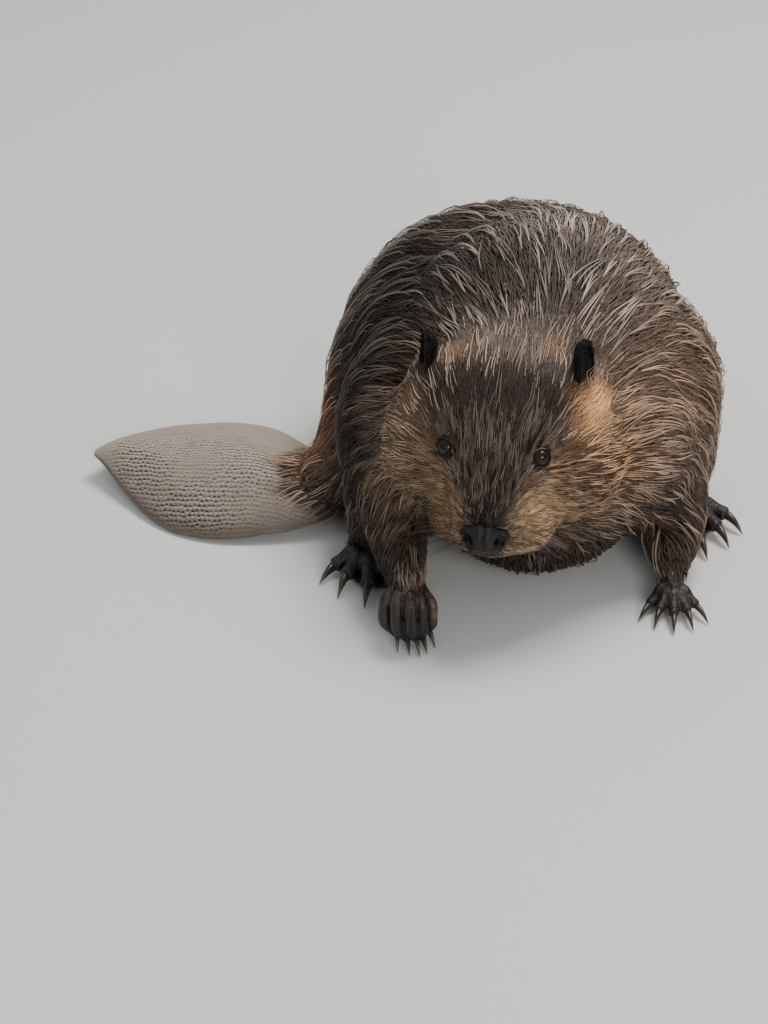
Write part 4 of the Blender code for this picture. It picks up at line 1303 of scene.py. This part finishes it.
# painted light: paler towards the far rim, where the light falls
tail_colour *= 0.80 + 0.55 * smooth_step(-0.8, 0.5, v)[None, :, None]
paint(tail_mesh, np.vstack([tail_colour.reshape(-1, 3), TAIL_PALE * 0.5, TAIL_PALE]))
tail_finish = material(
    "scaly_tail_skin",
    {"Roughness": 0.50, "Specular IOR Level": 0.4},
    lambda place: {
        "Base Color": place.noise(60, 5).between(0.02, 0.42).mixed(TAIL_MUD, painted(place)),
        "Relief": place.noise(900, 2) * 0.10 + place.noise(150, 3) * 0.35,
    },
)
piece("tail_skin", tail_mesh, tail_finish, ["tail_blade"])

# %% [markdown]
# ## Feeling for the skin
#
# Hair follows the skin under it. To comb many thousand locks at once, each step
# of each lock asks: what is the nearest place on the skin, which way does it
# face, how does the coat lie there? A small Geometry Nodes group answers for a
# whole cloud of points in one evaluation: it samples named vectors of the skin
# at the nearest surface.

# %% Feeling for the skin
def sampler(target, names):
    """Nodes that store, on each point, the target's vectors at the nearest surface."""
    group = bpy.data.node_groups.new("nearest", "GeometryNodeTree")
    for way in ("INPUT", "OUTPUT"):
        group.interface.new_socket("Geometry", in_out=way, socket_type="NodeSocketGeometry")
    new, link = group.nodes.new, group.links.new
    info = new("GeometryNodeObjectInfo")
    info.inputs["Object"].default_value = target
    flow = new("NodeGroupInput").outputs[0]
    for name in names:
        value = new("GeometryNodeInputNamedAttribute")
        value.data_type = "FLOAT_VECTOR"
        value.inputs["Name"].default_value = name
        nearest = new("GeometryNodeSampleNearestSurface")
        nearest.data_type = "FLOAT_VECTOR"
        link(info.outputs["Geometry"], nearest.inputs["Mesh"])
        link(value.outputs["Attribute"], nearest.inputs["Value"])
        store = new("GeometryNodeStoreNamedAttribute")
        store.data_type, store.domain = "FLOAT_VECTOR", "POINT"
        store.inputs["Name"].default_value = name
        link(flow, store.inputs["Geometry"])
        link(nearest.outputs["Value"], store.inputs["Value"])
        flow = store.outputs["Geometry"]
    link(flow, new("NodeGroupOutput").inputs[0])
    return group


FELT = ("place", "facing", "lie", "cut")
SKIN, BARE = -1, -2  # the chart shares the skin out to its areas; bare parts grow nothing
guide_parts = [(skin_mesh, SKIN)]
guide_parts += [(mesh, AREAS.index("ear")) for mesh in ear_meshes.values()]
guide_parts += [(mesh, BARE) for mesh in (tail_mesh, *bare_feet)]
guide_arrays = [(arrays_of(mesh)[0], triangles_of(mesh)) for mesh, _ in guide_parts]
guide_mesh = filled_mesh("guide", *joined(guide_arrays))
guide_points, guide_normals = arrays_of(guide_mesh)
guide_triangles = triangles_of(guide_mesh)
guide = linked("guide", guide_mesh)
lie, cut, _ = combed(guide_points)
flat_lie = unit(lie - guide_normals * (lie * guide_normals).sum(axis=1, keepdims=True))
for name, values in zip(FELT, (guide_points, guide_normals, flat_lie, cut[:, :3])):
    set_points(guide.data, name, values)
nearest_skin = sampler(guide, FELT)


def felt(points):
    """(place, facing, lie) of the skin nearest to each of the points."""
    cloud = bpy.data.meshes.new("cloud")
    cloud.vertices.add(len(points))
    moved(cloud, points)
    probe = linked("probe", cloud)
    modifier = probe.modifiers.new("nearest", "NODES")
    modifier.node_group = nearest_skin
    found = evaluated(probe)
    place, facing, lie = (get_points(found, name) for name in FELT[:3])
    bpy.data.meshes.remove(found)
    facing = unit(facing)
    lie = unit(lie - facing * (lie * facing).sum(axis=1, keepdims=True))
    return place, facing, lie


first, second, third = (guide_points[guide_triangles[:, k]] for k in range(3))
triangle_size = np.linalg.norm(np.cross(second - first, third - first), axis=1) / 2
triangle_middle = guide_points[guide_triangles].mean(axis=1)
kinds = [np.full(len(triangles_of(mesh)), kind) for mesh, kind in guide_parts]
triangle_kind = np.concatenate(kinds)
triangle_area = np.where(triangle_kind == SKIN, combed(triangle_middle)[2], triangle_kind)
for number, name in enumerate(AREAS):
    print(name, round(float(triangle_size[triangle_area == number].sum()) * 1e4), "cm2")

# %% [markdown]
# ## Places for the roots
#
# Roots are drawn on the skin in proportion to area, by steps of equal area
# through the list of triangles, with a random place inside each. Every area of
# the coat is also unwrapped flat by itself. A lock's later texture is a small
# patch at its root's place on that map, so its own colours stay its own.

# %% Places for the roots
def unwrapped(chosen):
    """Texture places of the corners of the chosen skin triangles, unwrapped together."""
    points, corner = np.unique(guide_triangles[chosen], return_inverse=True)
    mesh = filled_mesh("patch", guide_points[points], corner.reshape(-1, 3))
    patch = linked("patch", mesh)
    mesh.uv_layers.new(name="flat")
    bpy.context.view_layer.objects.active = patch
    patch.select_set(True)
    bpy.ops.object.mode_set(mode="EDIT")
    bpy.ops.mesh.select_all(action="SELECT")
    bpy.ops.uv.smart_project(angle_limit=math.radians(66), island_margin=0.004)
    bpy.ops.object.mode_set(mode="OBJECT")
    found = np.empty(len(mesh.loops) * 2, np.float32)
    mesh.uv_layers["flat"].uv.foreach_get("vector", found)
    bpy.data.objects.remove(patch, do_unlink=True)
    return found.reshape(-1, 3, 2).astype(float)


def rooted(chosen, count):
    """count roots on the chosen triangles: (places, texture places)."""
    reached = np.cumsum(triangle_size[chosen])
    steps = (np.arange(count) + rng.random(count)) / count * reached[-1]
    pick = np.minimum(np.searchsorted(reached, steps), len(chosen) - 1)
    first, second = rng.random((2, count))
    over = first + second > 1
    first, second = (np.where(over, 1 - value, value) for value in (first, second))
    share = np.stack([1 - first - second, first, second], axis=1)[:, :, None]
    corners_of = guide_points[guide_triangles[chosen[pick]]]
    return (corners_of * share).sum(axis=1), (maps[id(chosen)][pick] * share).sum(axis=1)


# %% [markdown]
# ## Locks of hair
#
# The guard hairs of a damp coat cling together in locks. One march over the
# skin draws the middle line of a lock: a short step along the lie, back down to
# the skin, and again. The single strands then start beside that line and run
# towards it, the more so the wetter the coat. A strand is three-sided with a
# ridge on top, a few rings long, and ends in a point: few faces, but closed.

# %% Locks of hair
# waves per axis in radians to the metre, and each wave's start
RIPPLES = np.array([(61, 23, 17, 0.3), (-19, 67, 41, 2.1), (37, -43, 71, 4.0), (113, 89, -53, 1.2)])
ROOT_DEPTH = 0.3 * MM  # roots start that far under the skin
# ranges of chance, as factors: of locks their lengths and tones, of strands the rest
LENGTHS, LOCK_TONES, WIDTHS, STRAND_TONES = (0.75, 1.2), (0.80, 1.15), (0.7, 1.25), (0.92, 1.08)
SWERVE = 0.12  # how far a lock turns off the lie by chance, in radians
UV_PATCH = 0.0015  # half the side of a lock's patch on the texture map
# how many eye radii roots and strands keep off, and how much less above the eye
ROOTS_OFF_EYE, STRANDS_OFF_EYE, LESS_ABOVE = 1.21, 1.11, 0.07


def ripple(points):
    """A smooth field from about -1 to 1 by which neighbouring locks swerve alike."""
    return np.sin(points @ RIPPLES[:, :3].T + RIPPLES[:, 3]).sum(axis=1) / 2.8


def combed_lines(roots, length, swerve, bend, steps):
    """Lines over the skin: places, facings and headings, (line, step, xyz).

    Each step goes length / steps along the lie, turned about the skin's normal by
    swerve + bend * ripple, and then to the nearest skin.
    """
    place, facing, lie = felt(roots)
    lines = []
    for step in range(steps + 1):
        side = np.cross(facing, lie)
        turn = swerve + bend * ripple(place)
        heading = lie * np.cos(turn)[:, None] + side * np.sin(turn)[:, None]
        lines.append((place, facing, heading))
        if step < steps:
            place, facing, lie = felt(place + heading * (length / steps)[:, None])
    return [np.stack(values, axis=1) for values in zip(*lines)]


def strand_triangles(rings):
    """How many triangles a strand has: six between rings, three at its point, one root."""
    return 6 * rings - 2


def strand_faces(rings):
    """Triangles of one strand: three sides between rings, a point, a root."""
    ring = np.arange(rings - 1)[:, None] * 3
    side = np.arange(3)[None, :]
    following = (side + 1) % 3
    lower, upper = ring + side, ring + following
    walls = [
        np.stack([lower, upper, upper + 3], axis=-1).reshape(-1, 3),
        np.stack([lower, upper + 3, lower + 3], axis=-1).reshape(-1, 3),
    ]
    last = (rings - 1) * 3
    tip = [[last + k, last + (k + 1) % 3, rings * 3] for k in range(3)]
    return np.vstack([*walls, tip, [[2, 1, 0]]])


def locks(
    name, count, strands, rings, width, gather, brightness,
    stretch=1.0, forked=0.0, rise=1.0, bend=0.3,
):
    """Grows one layer of the coat: count locks of so many strands each.

    Along a strand, t runs from 0 at the root to 1 at the point. It lifts off the
    skin in its first third and settles a little towards its point. Strands of a
    lock run together by 1 - wetness * t^0.9, or, in the forked share of locks,
    leave one stem and part. The width rises from the root, and falls as
    1 - 0.92 t^2. brightness is the range of the way from deep colour to pale.
    """
    chosen = chosen_triangles[name]
    roots, flat = rooted(chosen, count)
    keep = clear_of_face(roots)
    roots, flat = roots[keep], flat[keep]
    count = len(roots)
    cut = combed(roots)[1]
    length = cut[:, 0] * rng.uniform(*LENGTHS, count) * stretch
    swerve = rng.normal(0, SWERVE, count)
    lines = combed_lines(roots, length, swerve, bend * cut[:, 2], rings)
    off_eyes = clear_of_eyes(lines[0].reshape(-1, 3), STRANDS_OFF_EYE)
    off_eyes = off_eyes.reshape(count, -1).all(axis=1)
    place, facing, heading = (values[off_eyes] for values in lines)
    flat, cut, count = flat[off_eyes], cut[off_eyes], int(off_eyes.sum())
    side = np.cross(facing, heading)

    t = np.linspace(0, 1, rings + 1)
    spacing = np.linspace(-1, 1, strands) if strands > 1 else np.zeros(1)
    beside = (spacing + rng.normal(0, 0.35, (count, strands))) * gather
    wetness = cut[:, 3:4, None]
    meets = 1 - wetness * t**0.9
    parts = 0.06 + 0.94 * smooth_step(0.2, 1.1, t)
    fork = rng.random((count, 1, 1)) < forked
    spread = np.where(fork, parts, meets)
    behind = np.where(fork[:, :, 0], 0.15, 1.4) * rng.uniform(-1, 1, (count, strands)) * gather
    loft = rng.uniform(0.7, 1.0, (count, 1)) * rise + rng.normal(0, 0.06, (count, strands))
    sway = np.sin(2 * np.pi * (1.3 * t + rng.random((count, 1, 1))))
    sway = sway * cut[:, 2][:, None, None] * t * MM
    sideways = beside[:, :, None] * spread + sway
    along = behind[:, :, None] * (1 - t)
    lifted = 0.1 + 0.9 * smooth_step(0, 0.3, t) - 0.32 * t**2
    height = cut[:, 1][:, None, None] * lifted * np.clip(loft, 0.2, 1.5)[:, :, None]
    height[:, :, 0] = -ROOT_DEPTH
    line = (
        place[:, None]
        + side[:, None] * sideways[..., None]
        + heading[:, None] * along[..., None]
        + facing[:, None] * height[..., None]
    )

    own_width = width * rng.uniform(*WIDTHS, (count, strands, 1))
    own_width = own_width * np.minimum(0.45 + 2 * t, 1) * (1 - 0.92 * t**2)
    out = side[:, None] * own_width[..., None] / 2
    up = facing[:, None] * own_width[..., None] * 0.42
    rims = np.stack([line + out, line + up, line - out], axis=3)[:, :, :rings]
    total = count * strands
    points = np.concatenate(
        [rims.reshape(total, rings * 3, 3), line[:, :, rings].reshape(total, 1, 3)], axis=1
    )

    if name == "ear":
        deep, pale = (np.broadcast_to(colour, (count, 3)) for colour in (EAR_DEEP, EAR_PALE))
    else:
        deep, pale = marked(place[:, rings // 2])
    low, high = brightness
    luck = rng.random((count, 1)) ** 1.4 * 0.7 + rng.random((count, strands)) * 0.3
    bright = low + (high - low) * luck
    grow = 0.5 + 0.5 * smooth_step(0.0, 0.4, t)
    blend = (bright[:, :, None] * grow)[..., None]
    tone = rng.uniform(*LOCK_TONES, (count, 1, 1, 1))
    tone = tone * rng.uniform(*STRAND_TONES, (count, strands, 1, 1))
    colour = (deep[:, None, None] + (pale - deep)[:, None, None] * blend) * tone
    colour = np.repeat(colour, 3, axis=2)[:, :, : rings * 3 + 1].reshape(total, -1, 3)

    patch = np.broadcast_arrays(np.array([-1.0, 0.0, 1.0])[None, :], 2 * t[:, None] - 1)
    patch = np.stack(patch, axis=-1).reshape(-1, 2)[: rings * 3 + 1] * UV_PATCH
    flat = (flat[:, None, None] + patch).repeat(strands, axis=1).reshape(total, -1, 2)
    return points, colour, flat, strand_faces(rings)


def clear_of_eyes(points, reach):
    """Which points lie off the front of both eyes, out to so many radii."""
    clear = np.ones(len(points), bool)
    for centre, radius, axes in eyes.values():
        away = points - centre
        distance = np.linalg.norm(away, axis=1)
        above = np.clip(away @ head_axes[2] / distance, 0, 1)
        far = distance > radius * (reach - LESS_ABOVE * above)
        clear &= far | (away @ axes[2] / distance < 0.2)
    return clear


def clear_of_face(roots):
    """Which roots lie off the eyes with their lids, and off the nose pad."""
    across, along, up = ((to_head(roots) - nose_centre) / nose_half).T
    off_nose = (across**2 + along**2 + up**2) > 1.0
    return clear_of_eyes(roots, ROOTS_OFF_EYE) & off_nose


def coat_piece(name, layers):
    """Joins layers of locks into one piece with its colours and its texture map."""
    parts, start = [], 0
    for points, colour, flat, faces in layers:
        count, each = points.shape[:2]
        offset = start + np.arange(count)[:, None, None] * each
        faces = (faces + offset).reshape(-1, 3)
        parts.append((points.reshape(-1, 3), colour.reshape(-1, 3), flat.reshape(-1, 2), faces))
        start += count * each
    points, colour, flat, faces = (np.concatenate(values) for values in zip(*parts))
    mesh = filled_mesh("coat_" + name, points, faces)
    paint(mesh, np.clip(colour, 0, 1))
    layer = mesh.uv_layers.new(name="OFBake")
    layer.uv.foreach_set("vector", flat[faces.ravel()].astype(np.float32).ravel())
    piece("coat_" + name, mesh, coat_finish)


coat_finish, skin_finish = (
    material(
        name,
        {"Roughness": roughness, "Specular IOR Level": gloss},
        lambda place: {"Base Color": painted(place)},
    )
    for name, roughness, gloss in (("damp_hair", 0.45, 0.2), ("hide", 0.7, 0.15))
)

# the skin takes the deep colour, and round the eyes the colours of the lids
LID_REACH = (1.34, 1.16)  # eye radii between which the skin turns into lid
skin_points = arrays_of(skin_mesh)[0]
deep = marked(skin_points)[0]
for centre, radius, axes in eyes.values():
    away = (skin_points - centre) / radius
    distance = np.linalg.norm(away, axis=1)
    near = smooth_step(*LID_REACH, distance)[:, None]
    off_axis = np.degrees(np.arccos(np.clip(away @ axes[2] / distance, -1, 1)))
    behind = smooth_step(-0.6, 0.6, away @ head_axes[1])[:, None]
    fold = np.array(LID_FRONT) + np.subtract(LID_BEHIND, LID_FRONT) * behind
    around = np.arctan2(away @ axes[1], away @ axes[0])
    past_rim = off_axis - np.degrees(opening_at(around))
    lid = fold + (np.array(LID_RIM) - fold) * smooth_step(14, 8, past_rim)[:, None]
    deep += (lid - deep) * near
paint(skin_mesh, deep * 0.8)
piece("skin", skin_mesh, skin_finish, FLESH)

# Each coat has three layers: short broad hair next to the skin, the body of the coat, and veins,
# the few long locks that cling together. The veins are painted pale: partly their own bleached
# hair, partly a painted reflection of the sky on the wet locks.
# Columns: width and gather of the strands in millimetres, brightness of the
# body, then of the veins their number, rings, stretch and forked share.
COATS = {
    "face": (0.48, 1.4, 0.24, 800, 4, 1.4, 0.0),
    "crown": (0.78, 4.2, 0.14, 100, 8, 1.7, 0.2),
    "cheek": (0.72, 2.8, 0.10, 330, 6, 1.6, 0.2),
    "neck": (0.92, 4.2, 0.15, 170, 8, 1.7, 0.7),
    "back": (1.00, 4.8, 0.14, 150, 9, 2.1, 0.85),
    "flank": (0.88, 4.0, 0.20, 300, 7, 1.6, 0.4),
    "rump": (0.92, 4.4, 0.15, 200, 8, 1.8, 0.5),
    "legs": (0.78, 3.2, 0.15, 240, 5, 1.4, 0.2),
}
PIECE_LIMIT = 179000
UNDER_LOCKS, UNDER_RINGS, BODY_STRANDS, BODY_RINGS, VEIN_STRANDS = 1500, 2, 5, 3, 3
EAR_LOCKS = 1900
chosen_triangles = {name: np.flatnonzero(triangle_area == AREAS.index(name)) for name in AREAS}
maps = {id(chosen): unwrapped(chosen) for chosen in chosen_triangles.values()}
for name, (width, gather, tint, veins, rings, stretch, forked) in COATS.items():
    width, gather = width * MM, gather * MM
    left = PIECE_LIMIT - UNDER_LOCKS * strand_triangles(UNDER_RINGS)
    left -= veins * VEIN_STRANDS * strand_triangles(rings)
    body = left // (BODY_STRANDS * strand_triangles(BODY_RINGS))
    coat_piece(
        name,
        [
            locks(
                name, UNDER_LOCKS, 1, UNDER_RINGS, width * 4.5, gather, (0.0, 0.06),
                stretch=0.75, rise=0.55,
            ),
            locks(
                name, body, BODY_STRANDS, BODY_RINGS, width * 1.25, gather * 1.2, (0.0, tint),
                rise=0.8,
            ),
            # veins, painted pale: partly bleached hair, partly a painted reflection on the wet
            # locks
            locks(
                name, veins, VEIN_STRANDS, rings, width * 0.8 * stretch, gather, (0.25, 1.0),
                stretch, forked, rise=1.1, bend=0.42,
            ),
        ],
    )
velvet = locks("ear", EAR_LOCKS, 2, 2, 0.6 * MM, 0.7 * MM, (0.0, 0.5), rise=0.6)
coat_piece("ear", [velvet])

# %% [markdown]
# ## Whiskers
#
# Long stiff hairs in a few rows on either side of the muzzle, swept out and
# back, each a thin tube that bends down under its own weight.

# %% Whiskers
WHISKERS, WHISKER_ROWS, WHISKER_RINGS, WHISKER_SIDES = 17, 4, 9, 5
THICK, THIN = 0.34, 0.27  # millimetres: the radius at the root, and how much of it goes
DROOP = 0.22

strands = []
for side in SIDES.values():
    for number in range(WHISKERS):
        row, place = number % WHISKER_ROWS, number / (WHISKERS - 1)
        height = -6 - 6 * row + 2 * rng.random()
        start = np.array([side * (15 + 9 * place), 10 + 16 * place, height])
        root = felt(from_head(start)[None])[0][0]
        ahead = np.array([side * 1.0, rng.uniform(-0.15, 0.5), -0.15 - 0.16 * row])
        ahead = unit(ahead) @ head_axes
        length = rng.uniform(26, 48) * MM
        t = np.linspace(0, 1, WHISKER_RINGS)[:, None]
        path = root + ahead * length * t + [0, 0, -DROOP * length] * t**2
        strands.append(swept(path, (THICK - THIN * t[:, 0]) * MM, WHISKER_SIDES))
whisker_finish = material("whisker", {"Base Color": (0.045, 0.032, 0.024, 1), "Roughness": 0.35})
piece("whiskers", outward(filled_mesh("whiskers", *joined(strands))), whisker_finish)
bpy.data.objects.remove(guide, do_unlink=True)


# %% [markdown]
# ## The floor
#
# The floor is a plain sheet that belongs to the room.

# %% The floor
floor_corners = np.array([[-4, -4, 0], [4, -4, 0], [4, 6, 0], [-4, 6, 0]], float)
floor_mesh = filled_mesh("floor", floor_corners, [[0, 1, 2, 3]])
floor_finish = material("plain_floor", {"Base Color": (0.72, 0.71, 0.69, 1), "Roughness": 0.9})
floor_mesh.materials.append(floor_finish)
linked("floor", floor_mesh)

print("all pieces", sum(pieces.values()), "triangles")
